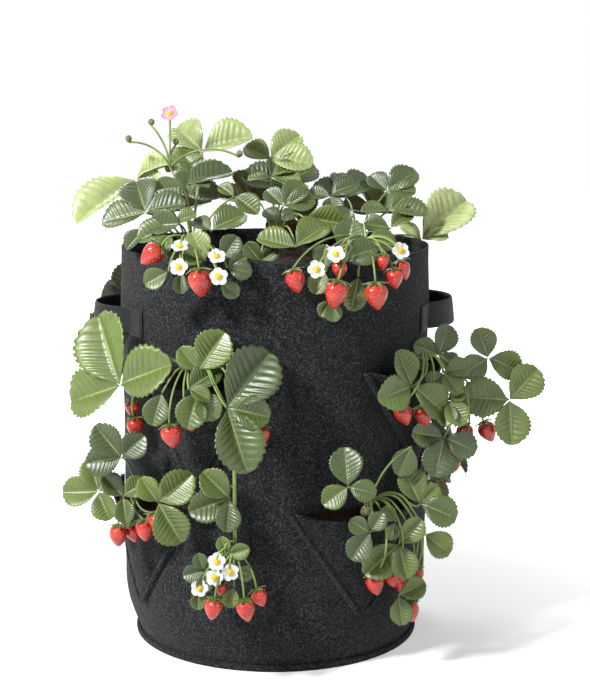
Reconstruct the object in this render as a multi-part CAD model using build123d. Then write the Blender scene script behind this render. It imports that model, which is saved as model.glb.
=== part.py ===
from build123d import *
import math
import os

# Strawberry grow bag, planted: a felt drum with eight sewn-on pockets, two
# webbing handles, potting mix, and strawberry plants in the top and pockets.
# Millimetres. The origin is the middle of the base on the floor, +Z is up,
# and the front is toward -Y. Azimuths turn from the front toward +X.

# Felt bag
bag_radius = 175.0
bag_height = 450.0
felt = 2.5
base_radius = 160.0
shoulder_height = 75.0
seat = 0.3                    # gap left between pieces that lie on each other
binding_width = 4.0
binding_height = 7.0
binding_round_share = 0.3     # its edge rounding over its width
back_seam_azimuth = 182.0
back_seam_width = 5.0
back_seam_top_gap = 3.0

# Pockets
lower_first_azimuth = 32.5
upper_first_azimuth = 61.5
pockets_in_row = 4
pocket_half_angle = 29.5
pocket_seat = 0.45            # a flap's straight stretches stand this clear of the round wall
mix_levels = 6
pocket_height = 121.0
lower_mouth_height = 183.0
upper_mouth_height = 328.0
pocket_bulge = 20.0
hem_width = 8.7
hem_rise = 5.0
hem_meeting_gap = 2.0
flap_levels = 8               # straight stretches from a flap's apex to its mouth
slit_height = 12.0
slit_below_mouth = 2.0
slit_half_angle = 20.0

# Handles
handle_azimuths = {"right": 95.65, "left": -84.35}
strap_width = 30.0
strap_thickness = 2.0
strap_top_height = 389.0
strap_reach = 31.0
strap_half_span = 57.9        # half the free chord between the sewn ends
sewn_end_angle = 10.7
end_clearance = 0.3
stitch_length = 3.2
stitch_width = 0.8
stitch_rise = 0.5
stitch_seat = 0.1
stitches_in_row = 5
stitch_inset_angle = 1.3

# Potting mix
soil_gap = 0.3
soil_below_rim = 22.0
soil_height = bag_height - soil_below_rim
soil_crown = 6.0              # rise of the mix at the middle of the bag
crown_slope_share = 0.6       # where the rise is halfway in, over the mix's radius
crown_level_share = 0.15      # the level middle, over the mix's radius
pocket_fill = 0.90            # how far up its pocket the mix comes
pocket_fill_start = 0.30
mix_width_share = 0.8         # the mix's width in a pocket, over the flap between its hems
mix_side_share = 0.32         # the mix's depth at its sides, over the flap's bulge
tongue_width_share = 0.9      # the mix's width in a slit, over the slit
tongue_reach = 1.0            # how far the mix in a slit runs into the pocket's mix

# Plants
crown_radius = 9.0
pocket_crown_radius = 7.0
stalk_radius = 1.1
blade_thickness = 0.8
blade_fold = 16.0             # each half of a leaflet rises by this from the midrib
blade_width_share = 0.90
blade_steps = 6               # straight stretches along each side of a leaflet
blade_skew = 1.2              # moves a leaflet's widest place toward its tip
blade_roundness = 0.8         # lower is rounder
blade_start = 0.8             # from the leaf's joint to where a leaflet begins
lip_clearance = 8.0
stalk_arch_share = 0.18       # how high a stalk arches over its span
stalk_arch_least = 8.0
lip_swing_share = 0.6         # how far round to its end a stalk turns before the lip
upright_end_rise = 5.0        # stalks that end this far above the mouth don't cross the lip
upright_aim = 60.0
over_lip_aim = 40.0
over_lip_lean = 0.3
rim_knot_inset = 25.0         # where a truss forks, inside the rim, as it leans over it
rim_knot_rise = 22.0
berry_height_share = 1.15
berry_shoulder = 0.26         # the outline's half-widths over the berry's width
berry_belly = (0.50, 0.28)    # and, where two are given, how far down over its height
berry_flank = (0.33, 0.70)
berry_taper = (0.20, 0.90)
berry_tip = 0.04
sepal_share = 0.62            # a sepal star's radius over the berry's width
sepal_waist = 0.45            # the radius between two lobes over the star's radius
petal_waist = 0.70
lobes = 5
steps_in_lobe = 4
lobe_roundness = 0.6
petal_radius = 9.5
petal_thickness = 0.8
flower_stalk_inset = 0.6
flower_eye_radius = 3.0
flower_eye_top_share = 0.6
flower_eye_height = 1.6
sepal_thickness = 0.8
touch_gap = 0.15

# Runner that hangs from the upper left pocket
runner_x = -43.0
runner_y = -200.0
runner_top = 292.0
runner_bottom = 152.0
runner_radius = 2.0
runner_pin_gap = 1.2
runner_fork_rise = 12.0       # a leaf's stalk leaves the runner this far above the leaf
runner_fork_least = 2.0

top_crowns = {"top_left": (-92, -40), "top_middle": (0, 20), "top_right": (95, -10)}

# The plants below are drawn for a bag of these sizes. Each is carried along with
# the wall, the pocket, the rim or the mix that it grows on when that size changes.
drawn_radius = 175.0
drawn_height = 450.0
drawn_mouths = {"lower": 183.0, "upper": 328.0}
drawn_soil_height = 428.0

# A leaf is its joint (x, y, z), the way its face looks (azimuth, elevation)
# and its leaflets, each as a clock angle in that face and a length.
leaves_upper_left = [
    ((-165, -142, 315), (-35, 20), [(-35, 88), (-112, 68), (66, 72)]),
    ((-80, -187, 340), (0, 10), [(35, 48), (-40, 30)]),
    ((-90, -197, 322), (5, 40), [(55, 40), (125, 25)]),
    ((-118, -188, 316), (-5, 15), [(-165, 35)]),
    ((-50, -212, 305), (8, 20), [(40, 75), (165, 70), (105, 45)]),
    ((-80, -192, 318), (-5, 20), [(145, 35), (-165, 40)]),
]
leaves_lower_left = [
    ((-165, -143, 236), (-5, 5), [(-40, 45), (-100, 40), (45, 35)]),
    ((-194, -111, 190), (-15, 20), [(-95, 42), (-20, 38), (150, 35)]),
    ((-165, -138, 191), (-5, 25), [(-45, 32), (55, 30), (170, 30)]),
    ((-125, -171, 194), (0, 5), [(-35, 32), (50, 48), (150, 50)]),
]
leaves_upper_right = [
    ((145, -138, 312), (35, 15), [(-100, 46), (-18, 42), (132, 50)]),
    ((178, -90, 338), (20, 10), [(25, 35), (-65, 30), (125, 25)]),
    ((182, -112, 322), (10, 40), [(85, 30), (-130, 25), (155, 30)]),
    ((236, -70, 330), (10, 20), [(-15, 35), (-120, 35), (115, 40)]),
    ((258, -90, 287), (5, 20), [(45, 47), (-85, 55), (180, 50)]),
    ((186, -120, 293), (0, 30), [(70, 20), (150, 33), (-175, 30)]),
    ((184, -112, 250), (5, 15), [(-80, 35), (115, 38), (-165, 45)]),
]
leaves_lower_right = [
    ((76, -190, 215), (0, 20), [(-5, 42), (-125, 32), (105, 30)]),
    ((157, -134, 181), (10, 20), [(-20, 42), (115, 42), (50, 28)]),
    ((132, -170, 147), (5, 15), [(-130, 50), (45, 35), (170, 38)]),
    ((162, -140, 149), (15, 20), [(132, 35)]),
    ((133, -155, 84), (5, 15), [(65, 32), (174, 32)]),
    ((148, -125, 243), (10, 15), [(-150, 35)]),
    ((100, -192, 166), (-5, 10), [(-60, 25), (30, 25), (-145, 35)]),
    ((128, -172, 172), (0, 15), [(-160, 20), (-42, 20)]),
]
leaves_rear_pocket = [
    ((0, -212, 44), (0, 25), [(0, 55), (-85, 48), (80, 48)]),
    ((-44, -214, 12), (-15, 25), [(-70, 50), (10, 38), (-150, 42)]),
    ((46, -214, 8), (15, 25), [(75, 50), (-5, 38), (150, 42)]),
    ((2, -222, -22), (0, 15), [(180, 55), (-105, 42), (100, 42)]),
]
leaves_top_left = [
    ((-158, 14, 522), (-30, 50), [(-150, 85), (60, 45), (105, 42)]),
    ((-83, 30, 552), (-20, 45), [(-50, 55), (-130, 47), (70, 60)]),
    ((-84, -10, 526), (10, 40), [(-27, 34), (68, 30)]),
    ((-141, -70, 492), (-20, 50), [(-30, 53), (-108, 50), (74, 46)]),
    ((-139, -95, 477), (-30, 35), [(-148, 30), (78, 40)]),
    ((-107, -105, 483), (-20, 45), [(-123, 43), (57, 25)]),
    ((-99, -40, 519), (0, 65), [(-105, 35), (112, 28), (62, 58)]),
    ((-68, -112, 477), (0, 50), [(57, 42), (-51, 25)]),
    ((-45, -60, 509), (0, 40), [(132, 35), (-47, 22)]),
    ((-105, 62, 500), (-20, 50), [(-90, 50), (0, 45), (95, 45)]),
    ((-112, 100, 478), (-140, 40), [(0, 50), (-80, 45), (80, 45)]),
]
leaves_top_middle = [
    ((-5, 40, 543), (-5, 40), [(44, 46), (101, 50), (-59, 36)]),
    ((-5, 18, 524), (-5, 60), [(68, 34), (117, 38), (-95, 26)]),
    ((9, -30, 496), (0, 35), [(41, 36), (-43, 28), (82, 36)]),
    ((5, -52, 480), (0, 50), [(-40, 25), (55, 22)]),
    ((22, -120, 460), (0, 50), [(46, 45), (-72, 43)]),
    ((32, -82, 487), (0, 20), [(178, 25), (98, 42)]),
    ((-16, -122, 446), (0, 15), [(-40, 24), (60, 22)]),
    ((10, 82, 510), (10, 45), [(-70, 50), (60, 48), (0, 45)]),
    ((-28, 120, 488), (178, 45), [(0, 55), (-80, 48), (80, 44)]),
    ((30, 132, 462), (170, 35), [(110, 45), (-10, 45), (-110, 42)]),
]
leaves_top_right = [
    ((63, 10, 503), (-5, 45), [(61, 36), (-80, 26), (167, 30)]),
    ((128, 10, 509), (-5, 40), [(-42, 30), (50, 42), (98, 32)]),
    ((127, -20, 489), (0, 55), [(-90, 30), (104, 44), (62, 30)]),
    ((128, -42, 472), (0, 40), [(-79, 30), (50, 32)]),
    ((165, -20, 457), (10, 40), [(50, 80), (-51, 28), (88, 30)]),
    ((75, -115, 452), (-10, 25), [(8, 40)]),
    ((62, -72, 474), (0, 45), [(-60, 30), (40, 32)]),
    ((84, 66, 496), (20, 50), [(-60, 42), (50, 46), (0, 40)]),
    ((118, 92, 476), (140, 40), [(0, 52), (-80, 45), (80, 45)]),
]
leaves_rim_left = [
    ((-72, -178, 453), (0, 20), [(-26, 33), (-70, 24)]),
    ((-55, -182, 454), (5, 20), [(33, 30)]),
    ((-49, -187, 447), (5, 20), [(58, 22), (105, 25)]),
    ((-55, -192, 433), (0, 15), [(133, 22)]),
    ((-97, -176, 441), (0, 10), [(-178, 22)]),
    ((-110, -184, 443), (-10, 10), [(-119, 28)]),
    ((-117, -155, 452), (-15, 25), [(2, 26)]),
]
leaves_rim_right = [
    ((52, -181, 442), (0, 20), [(-6, 28), (-150, 26)]),
    ((70, -180, 454), (5, 25), [(70, 38)]),
    ((129, -146, 463), (15, 25), [(-65, 30)]),
    ((86, -174, 436), (5, 5), [(-168, 36)]),
    ((58, -192, 414), (0, 10), [(-145, 20), (174, 22)]),
]
leaves_runner = [
    ((-48, -194, 204), (5, 15), [(-45, 40), (-107, 45), (-172, 35)]),
    ((-51, -205, 146), (0, 10), [(-20, 20), (73, 24)]),
    ((-44, -205, 127), (5, 10), [(96, 20)]),
    ((-74, -203, 128), (-5, 10), [(-103, 24), (-26, 20), (179, 22)]),
    ((-81, -204, 107), (0, 10), [(-176, 20)]),
    ((-44, -205, 111), (0, 10), [(-164, 22)]),
]

# A berry is the place of its shoulder (x, y, z), its width, and how far its
# tip leans to the right seen from the front.
berries_upper_left = [
    ((-155, -122, 294), 16, 0),
    ((-153, -128, 276), 20, 10),
    ((-110, -200, 284), 21, 10),
    ((-92, -190, 295), 18, 15),
    ((-14, -188, 279), 17, 0),
]
berries_lower_left = [
    ((-171, -142, 159), 20, 0),
    ((-158, -132, 157), 17, 15),
    ((-142, -152, 168), 20, 5),
    ((-131, -155, 177), 18, 10),
]
berries_upper_right = [
    ((134, -142, 292), 20, 20),
    ((156, -124, 286), 20, 25),
    ((208, -88, 258), 20, 15),
    ((230, -96, 262), 20, 25),
    ((199, -98, 222), 16, -20),
]
berries_lower_right = [
    ((105, -170, 112), 20, 10),
    ((123, -160, 112), 16, 20),
    ((155, -134, 109), 16, 0),
    ((140, -134, 97), 16, -10),
    ((146, -142, 72), 20, 10),
]
berries_rear_pocket = [
    ((-22, -212, -38), 21, 0),
    ((22, -210, -30), 19, 10),
]
berries_rim_left = [
    ((-119, -166, 466), 23, -50),
    ((-78, -193, 446), 25, 5),
]
berries_rim_right = [
    ((18, -195, 445), 21, 15),
    ((64, -206, 435), 25, -10),
    ((66, -190, 454), 16, 0),
    ((103, -193, 431), 24, 5),
    ((122, -172, 443), 18, 10),
    ((130, -161, 450), 18, 20),
    ((111, -176, 458), 14, 0),
]
berries_runner = [
    ((-64, -221, 103), 20, -10),
    ((-33, -221, 101), 20, 10),
    ((-20, -206, 108), 17, 20),
    ((-58, -208, 116), 12, 0),
]

# A flower is its middle (x, y, z) and the way it looks (azimuth, elevation).
flowers_rim_left = [
    ((-98, -184, 468), (-10, 60)),
    ((-99, -190, 448), (-5, 20)),
    ((-60, -194, 459), (5, 45)),
    ((-58, -203, 440), (5, 15)),
]
flowers_rim_right = [
    ((42, -202, 447), (0, 15)),
    ((62, -200, 462), (-10, 30)),
    ((130, -168, 462), (15, 20)),
]
flowers_runner = [
    ((-62, -213, 141), (0, 20)),
    ((-64, -215, 125), (-5, 5)),
    ((-48, -213, 130), (10, 10)),
    ((-80, -211, 112), (-5, 10)),
]
pink_flower = ((-118, 0, 597), (-10, 30))
top_buds = [(-139, 0, 584), (-164, -10, 566), (-112, 2, 562), (-40, -6, 549)]
top_flower_fork = (-118, -8, 538)
bud_radius = 4.0


def around(azimuth, radius, height):
    a = math.radians(azimuth)
    return Vector(radius * math.sin(a), -radius * math.cos(a), height)


def azimuth_of(point):
    x, y, z = point
    return math.degrees(math.atan2(x, -y))


def loop_face(points):
    return Face(Wire.make_polygon([Vector(*p) for p in points], close=True))


def ring_sector(inner, outer, low, high, middle_azimuth, half_angle):
    """A piece of tube wall between two azimuths."""
    start = middle_azimuth - half_angle
    end = middle_azimuth + half_angle
    corners = [around(start, inner, low), around(start, outer, low), around(end, outer, low),
               around(end, inner, low)]
    edges = [
        Edge.make_line(corners[0], corners[1]),
        Edge.make_three_point_arc(corners[1], around(middle_azimuth, outer, low), corners[2]),
        Edge.make_line(corners[2], corners[3]),
        Edge.make_three_point_arc(corners[3], around(middle_azimuth, inner, low), corners[0]),
    ]
    return Solid.extrude(Face(Wire(edges)), Vector(0, 0, high - low))


# Bag

wall_inner = bag_radius - felt
wall_low = felt + seat
shoulder_low = binding_height + seat
shoulder_drop = shoulder_height - shoulder_low
shoulder_in = bag_radius - base_radius
shoulder_radius = (shoulder_drop ** 2 + shoulder_in ** 2) / (2 * shoulder_in)
shoulder_centre = bag_radius - shoulder_radius
shoulder_angle = math.asin(shoulder_drop / shoulder_radius)
pocket_seat_radius = bag_radius + pocket_seat
skin_radius = bag_radius + seat


def shoulder_point(radius, angle):
    return Vector(shoulder_centre + radius * math.cos(angle), 0, shoulder_height - radius * math.sin(angle))


def drum_side(offset, top):
    """The drum's outline from its foot to a height, set in by an offset."""
    radius = shoulder_radius - offset
    foot = shoulder_point(radius, shoulder_angle)
    half = shoulder_point(radius, shoulder_angle / 2)
    knee = shoulder_point(radius, 0)
    return [
        Edge.make_line(Vector(foot.X, 0, wall_low), foot),
        Edge.make_three_point_arc(foot, half, knee),
        Edge.make_line(knee, Vector(knee.X, 0, top)),
    ]


def spin(edges):
    return Solid.revolve(Face(Wire(edges)), 360, Axis.Z)


def pocket_sections():
    """Each pocket's name, azimuth and mouth height."""
    places = []
    for row, first, mouth in (("lower", lower_first_azimuth, lower_mouth_height),
                              ("upper", upper_first_azimuth, upper_mouth_height)):
        for index in range(pockets_in_row):
            azimuth = (first + index * 360 / pockets_in_row + 180) % 360 - 180
            ahead = "front" if abs(azimuth) < 90 else "rear"
            side = "right" if azimuth > 0 else "left"
            places.append((f"{row}_{ahead}_{side}", azimuth, mouth))
    return places


def bag_wall():
    outside = drum_side(0, bag_height)
    inside = drum_side(felt, bag_height)
    rim = Edge.make_line(outside[-1] @ 1, inside[-1] @ 1)
    foot = Edge.make_line(inside[0] @ 0, outside[0] @ 0)
    wall = spin(outside + inside + [rim, foot])
    slits = []
    for name, azimuth, mouth in pocket_sections():
        high = mouth - slit_below_mouth
        slits.append(ring_sector(wall_inner - felt, bag_radius + felt, high - slit_height, high,
                                 azimuth, slit_half_angle + seat))
    return wall - slits


def bag_base():
    return Solid.make_cylinder(base_radius, felt)


def base_binding():
    inner = base_radius + seat
    section = Face(Wire.make_rect(binding_width, binding_height, Plane.XZ))
    section = Pos(inner + binding_width / 2, 0, binding_height / 2) * section
    band = Solid.revolve(section, 360, Axis.Z)
    outer_edges = [e for e in band.edges() if abs(e.bounding_box().max.X - inner - binding_width) < 0.1]
    return band.fillet(binding_width * binding_round_share, outer_edges)


def back_seam():
    half_angle = math.degrees(back_seam_width / 2 / bag_radius)
    return ring_sector(skin_radius, skin_radius + felt, shoulder_height,
                       bag_height - back_seam_top_gap, back_seam_azimuth, half_angle)


# Pockets

hem_angle = math.degrees(hem_width / pocket_seat_radius)
apex_half_angle = hem_angle + math.degrees(hem_meeting_gap / 2 / pocket_seat_radius)


def pocket_half(share):
    return apex_half_angle + (pocket_half_angle - apex_half_angle) * share


def pocket_section(azimuth, mouth, share):
    """One level cut of the flap, folded hem to folded hem."""
    z = mouth - pocket_height * (1 - share)
    edge = pocket_half(share)
    fold = edge - hem_angle
    skin = pocket_seat_radius
    bulge = pocket_bulge * share
    left, right = azimuth - edge, azimuth + edge
    fold_left, fold_right = azimuth - fold, azimuth + fold
    corners = [
        around(left, skin, z),
        around(left, skin + hem_rise, z),
        around(fold_left, skin + hem_rise, z),
        around(fold_left, skin + felt, z),
        around(fold_right, skin + felt, z),
        around(fold_right, skin + hem_rise, z),
        around(right, skin + hem_rise, z),
        around(right, skin, z),
        around(fold_right, skin, z),
        around(fold_left, skin, z),
    ]
    outer_top = around(azimuth, skin + felt + bulge, z)
    inner_top = around(azimuth, skin + bulge, z)
    edges = []
    for index, start in enumerate(corners):
        end = corners[(index + 1) % len(corners)]
        if index == 3:
            edges.append(Edge.make_three_point_arc(start, outer_top, end))
        elif index == 8:
            edges.append(Edge.make_three_point_arc(start, inner_top, end))
        else:
            edges.append(Edge.make_line(start, end))
    return Wire(edges)


def pocket_flap(azimuth, mouth):
    levels = [pocket_section(azimuth, mouth, step / flap_levels) for step in range(flap_levels + 1)]
    return Solid.make_loft(levels, ruled=True)


def pocket_mix(azimuth, mouth):
    """The mix in a pocket, with the tongue that joins it to the bag's mix."""
    sections = []
    for step in range(mix_levels + 1):
        share = pocket_fill_start + (pocket_fill - pocket_fill_start) * step / mix_levels
        z = mouth - pocket_height * (1 - share)
        half = mix_width_share * (pocket_half(share) - hem_angle)
        bulge = pocket_bulge * share
        skin = pocket_seat_radius
        side = skin + bulge * mix_side_share - soil_gap
        a, b = azimuth - half, azimuth + half
        edges = [
            Edge.make_line(around(a, skin, z), around(a, side, z)),
            Edge.make_three_point_arc(around(a, side, z), around(azimuth, skin + bulge - 2 * soil_gap, z),
                                      around(b, side, z)),
            Edge.make_line(around(b, side, z), around(b, skin, z)),
            Edge.make_three_point_arc(around(b, skin, z), around(azimuth, skin, z), around(a, skin, z)),
        ]
        sections.append(Wire(edges))
    fill = Solid.make_loft(sections, ruled=True)
    high = mouth - pocket_height * (1 - pocket_fill)
    slit_low = mouth - slit_below_mouth - slit_height
    tongue = ring_sector(wall_inner, pocket_seat_radius + tongue_reach, slit_low + seat, high,
                         azimuth, slit_half_angle * tongue_width_share)
    return fill + tongue


soil_edge = wall_inner - soil_gap


def soil_top(radius):
    return soil_height + soil_crown * (1 - (radius / soil_edge) ** 2)


def soil_core():
    side = drum_side(felt + soil_gap, soil_height)
    slope, level = soil_edge * crown_slope_share, soil_edge * crown_level_share
    top = Vector(level, 0, soil_top(level))
    foot = side[0] @ 0
    edges = side + [
        Edge.make_three_point_arc(side[-1] @ 1, Vector(slope, 0, soil_top(slope)), top),
        Edge.make_line(top, Vector(0, 0, top.Z)),
        Edge.make_line(Vector(0, 0, top.Z), Vector(0, 0, foot.Z)),
        Edge.make_line(Vector(0, 0, foot.Z), foot),
    ]
    return spin(edges)


# Handles: the free loop is an arc through both sewn ends

strap_skin = bag_radius + seat + strap_thickness
strap_low = strap_top_height - strap_width
hinge_distance = math.sqrt(strap_skin ** 2 - strap_half_span ** 2)
loop_depth = bag_radius + strap_reach - hinge_distance
loop_radius = (strap_half_span ** 2 + loop_depth ** 2) / (2 * loop_depth)
loop_centre = bag_radius + strap_reach - loop_radius
loop_half_angle = math.degrees(math.atan2(strap_half_span, hinge_distance - loop_centre))
sewn_start = math.degrees(math.asin((strap_half_span + end_clearance) / strap_skin))


def handle_loop(azimuth):
    def at(angle, radius):
        a = math.radians(angle)
        out = loop_centre + radius * math.cos(a)
        along = radius * math.sin(a)
        return around(azimuth, out, strap_low) + around(azimuth + 90, along, 0)

    inner = loop_radius - strap_thickness
    edges = [
        Edge.make_three_point_arc(at(-loop_half_angle, loop_radius), at(0, loop_radius),
                                  at(loop_half_angle, loop_radius)),
        Edge.make_line(at(loop_half_angle, loop_radius), at(loop_half_angle, inner)),
        Edge.make_three_point_arc(at(loop_half_angle, inner), at(0, inner), at(-loop_half_angle, inner)),
        Edge.make_line(at(-loop_half_angle, inner), at(-loop_half_angle, loop_radius)),
    ]
    return Solid.extrude(Face(Wire(edges)), Vector(0, 0, strap_width))


def sewn_ends(azimuth):
    middle = sewn_start + sewn_end_angle / 2
    return [ring_sector(skin_radius, strap_skin, strap_low, strap_top_height,
                        azimuth + way * middle, sewn_end_angle / 2) for way in (-1, 1)]


def end_stitches(azimuth):
    """Two rows of stitches hold each sewn end."""
    pitch = strap_width / stitches_in_row
    half_angle = math.degrees(stitch_width / 2 / strap_skin)
    radius = strap_skin + stitch_seat
    stitches = []
    for way in (-1, 1):
        for inset in (stitch_inset_angle, sewn_end_angle - stitch_inset_angle):
            for index in range(stitches_in_row):
                low = strap_low + pitch * (index + 0.5) - stitch_length / 2
                stitches.append(ring_sector(radius, radius + stitch_rise, low, low + stitch_length,
                                            azimuth + way * (sewn_start + inset), half_angle))
    return stitches


# Plants

blade_cache = {}


def blade(length):
    """A leaflet: two flat halves folded up along the midrib."""
    if length in blade_cache:
        return blade_cache[length]
    half_width = length * blade_width_share / 2
    rim = [(0, 0)]
    for step in range(1, blade_steps):
        share = step / blade_steps
        rim.append((length * share, half_width * math.sin(math.pi * share ** blade_skew) ** blade_roundness))
    rim.append((length, 0))
    across = math.cos(math.radians(blade_fold))
    rise = math.sin(math.radians(blade_fold))
    faces = []
    for side in (1, -1):
        top = [(x, side * y * across, y * rise + blade_thickness) for x, y in rim]
        under = [(x, side * y * across, y * rise) for x, y in rim]
        faces += [loop_face(top), loop_face(under)]
        for index in range(len(rim) - 1):
            faces.append(loop_face([top[index], top[index + 1], under[index + 1], under[index]]))
    blade_cache[length] = Solid(Shell(faces))
    return blade_cache[length]


def facing(azimuth, elevation):
    a, e = math.radians(azimuth), math.radians(elevation)
    return Vector(math.sin(a) * math.cos(e), -math.cos(a) * math.cos(e), math.sin(e))


def leaf_blades(joint, face, leaflets):
    normal = facing(*face)
    above = (Vector(0, 0, 1) - normal * normal.Z).normalized()
    beside = above.cross(normal)
    shapes = []
    for clock, length in leaflets:
        c = math.radians(clock)
        point = above * math.cos(c) + beside * math.sin(c)
        place = Plane(origin=Vector(*joint) + point * blade_start, x_dir=point, z_dir=normal)
        shapes.append(blade(length).moved(place.location))
    return shapes


def stalk(path, radius=stalk_radius):
    wire = Wire(path)
    start = Plane(origin=wire @ 0, z_dir=wire % 0)
    return Solid.sweep(Face(Wire.make_circle(radius, start)), wire)


def crown_surface(crown, radius, toward):
    way = (Vector(*toward) - crown).normalized()
    return crown + way * (radius + touch_gap)


def arched_stalk(start, end):
    """A stalk that rises over one arc."""
    end = Vector(*end)
    span = (end - start).length
    middle = (start + end) * 0.5 + Vector(0, 0, max(stalk_arch_share * span, stalk_arch_least))
    return stalk([Edge.make_three_point_arc(start, middle, end)])


def lip_point(crown, mouth, end):
    here, there = azimuth_of(crown), azimuth_of(end)
    swing = (there - here + 180) % 360 - 180
    return around(here + lip_swing_share * swing, pocket_seat_radius + felt + pocket_bulge + lip_clearance,
                  mouth + lip_clearance)


def pocket_stalk(crown, mouth, end):
    """A stalk from a pocket's crown, over the lip if it hangs."""
    if end[2] > mouth + upright_end_rise:
        start = crown_surface(crown, pocket_crown_radius, (end[0], end[1], end[2] + upright_aim))
        return arched_stalk(start, end)
    over = lip_point(crown, mouth, end)
    start = crown_surface(crown, pocket_crown_radius, (over.X, over.Y, over.Z + over_lip_aim))
    away = Vector(over.X - start.X, over.Y - start.Y, 0).normalized()
    up_and_out = Vector(0, 0, 1) + away * over_lip_lean
    first = Edge.make_tangent_arc(start, up_and_out, over)
    second = Edge.make_tangent_arc(over, first % 1, Vector(*end))
    return stalk([first, second])


berry_cache = {}


def berry_shape(width):
    """A strawberry, shoulder up at the origin and tip down."""
    if width in berry_cache:
        return berry_cache[width]
    height = berry_height_share * width

    def at(half_width, down):
        return Vector(half_width * width, 0, -down * height)

    shoulder = at(berry_shoulder, 0)
    flank = at(*berry_flank)
    tip = at(berry_tip, 1)
    edges = [
        Edge.make_line(Vector(0, 0, 0), shoulder),
        Edge.make_three_point_arc(shoulder, at(*berry_belly), flank),
        Edge.make_three_point_arc(flank, at(*berry_taper), tip),
        Edge.make_line(tip, Vector(0, 0, -height)),
        Edge.make_line(Vector(0, 0, -height), Vector(0, 0, 0)),
    ]
    berry_cache[width] = spin(edges)
    return berry_cache[width]


def berry_frame(place, lean):
    """The frame that a berry hangs in: its own azimuth, leaning to one side."""
    return Location(Vector(*place)) * Location((0, 0, 0), (0, -lean, 0))


def berry(place, width, lean):
    return berry_shape(width).moved(berry_frame(place, lean))


def sepals(place, width, lean):
    """The green star on a berry's shoulder."""
    star = five_lobes(sepal_share * width, sepal_waist, sepal_thickness)
    return star.moved(berry_frame(place, lean) * Location((0, 0, touch_gap)))


def berry_top(place, lean):
    lift = touch_gap + sepal_thickness + touch_gap
    return (berry_frame(place, lean) * Location((0, 0, lift))).position


lobe_cache = {}


def five_lobes(radius, waist, thickness):
    """A flat five-lobed disc: petals, or sepals with a narrow waist."""
    key = (radius, waist, thickness)
    if key not in lobe_cache:
        points = []
        steps = lobes * steps_in_lobe
        for step in range(steps):
            angle = 2 * math.pi * step / steps
            lobe = abs(math.cos(lobes / 2 * angle)) ** lobe_roundness
            reach = radius * (waist + (1 - waist) * lobe)
            points.append((reach * math.cos(angle), reach * math.sin(angle), 0))
        lobe_cache[key] = Solid.extrude(loop_face(points), Vector(0, 0, thickness))
    return lobe_cache[key]


def flower(place, face):
    normal = facing(*face)
    above = (Vector(0, 0, 1) - normal * normal.Z).normalized()
    petals = five_lobes(petal_radius, petal_waist, petal_thickness)
    eye = Solid.make_cone(flower_eye_radius, flower_eye_radius * flower_eye_top_share, flower_eye_height)
    eye = eye.moved(Location((0, 0, petal_thickness + touch_gap)))
    frame = Plane(origin=Vector(*place), x_dir=above, z_dir=normal).location
    return [petals.moved(frame), eye.moved(frame)]


def flower_back(place, face):
    return Vector(*place) - facing(*face) * flower_stalk_inset


# Writing the nodes

def save(name, shapes):
    shape = Compound(children=shapes) if isinstance(shapes, list) else shapes
    export_step(shape, f"parts/{name}.step")


def save_plant(name, crown, radius, leaves, stalks):
    save(f"leaves_{name}", [b for leaf in leaves for b in leaf_blades(*leaf)])
    ball = Solid.make_sphere(radius, angle1=-90, angle2=90, angle3=360).moved(Location(crown))
    save(f"stalks_{name}", [ball] + stalks)


def turned(point, azimuth):
    """A point given for a pocket at the front, carried round to an azimuth."""
    a = math.radians(azimuth)
    x, y, z = point
    return (x * math.cos(a) - y * math.sin(a), x * math.sin(a) + y * math.cos(a), z)


def carried(rows, shift):
    """A plant's leaves, berries or flowers, with their points moved by a shift."""
    return [(tuple(Vector(*point) + shift), *rest) for point, *rest in rows]


def rear_leaves(azimuth, mouth):
    return [(turned((j[0], j[1], j[2] + mouth), azimuth), (face[0] + azimuth, face[1]), leaflets)
            for j, face, leaflets in leaves_rear_pocket]


def rear_berries(azimuth, mouth):
    return [(turned((p[0], p[1], p[2] + mouth), azimuth), width, lean)
            for p, width, lean in berries_rear_pocket]


os.makedirs("parts", exist_ok=True)

save("bag_wall", bag_wall())
save("bag_base", bag_base())
save("base_binding", base_binding())
save("back_seam", back_seam())
save("soil_core", soil_core())
save("soil_pockets", [pocket_mix(azimuth, mouth) for name, azimuth, mouth in pocket_sections()])
for name, azimuth, mouth in pocket_sections():
    save(f"pocket_{name}", pocket_flap(azimuth, mouth))

for side, azimuth in handle_azimuths.items():
    save(f"handle_{side}", handle_loop(azimuth))
save("handle_sewn_ends", [s for azimuth in handle_azimuths.values() for s in sewn_ends(azimuth)])
save("handle_stitching", [s for azimuth in handle_azimuths.values() for s in end_stitches(azimuth)])

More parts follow.
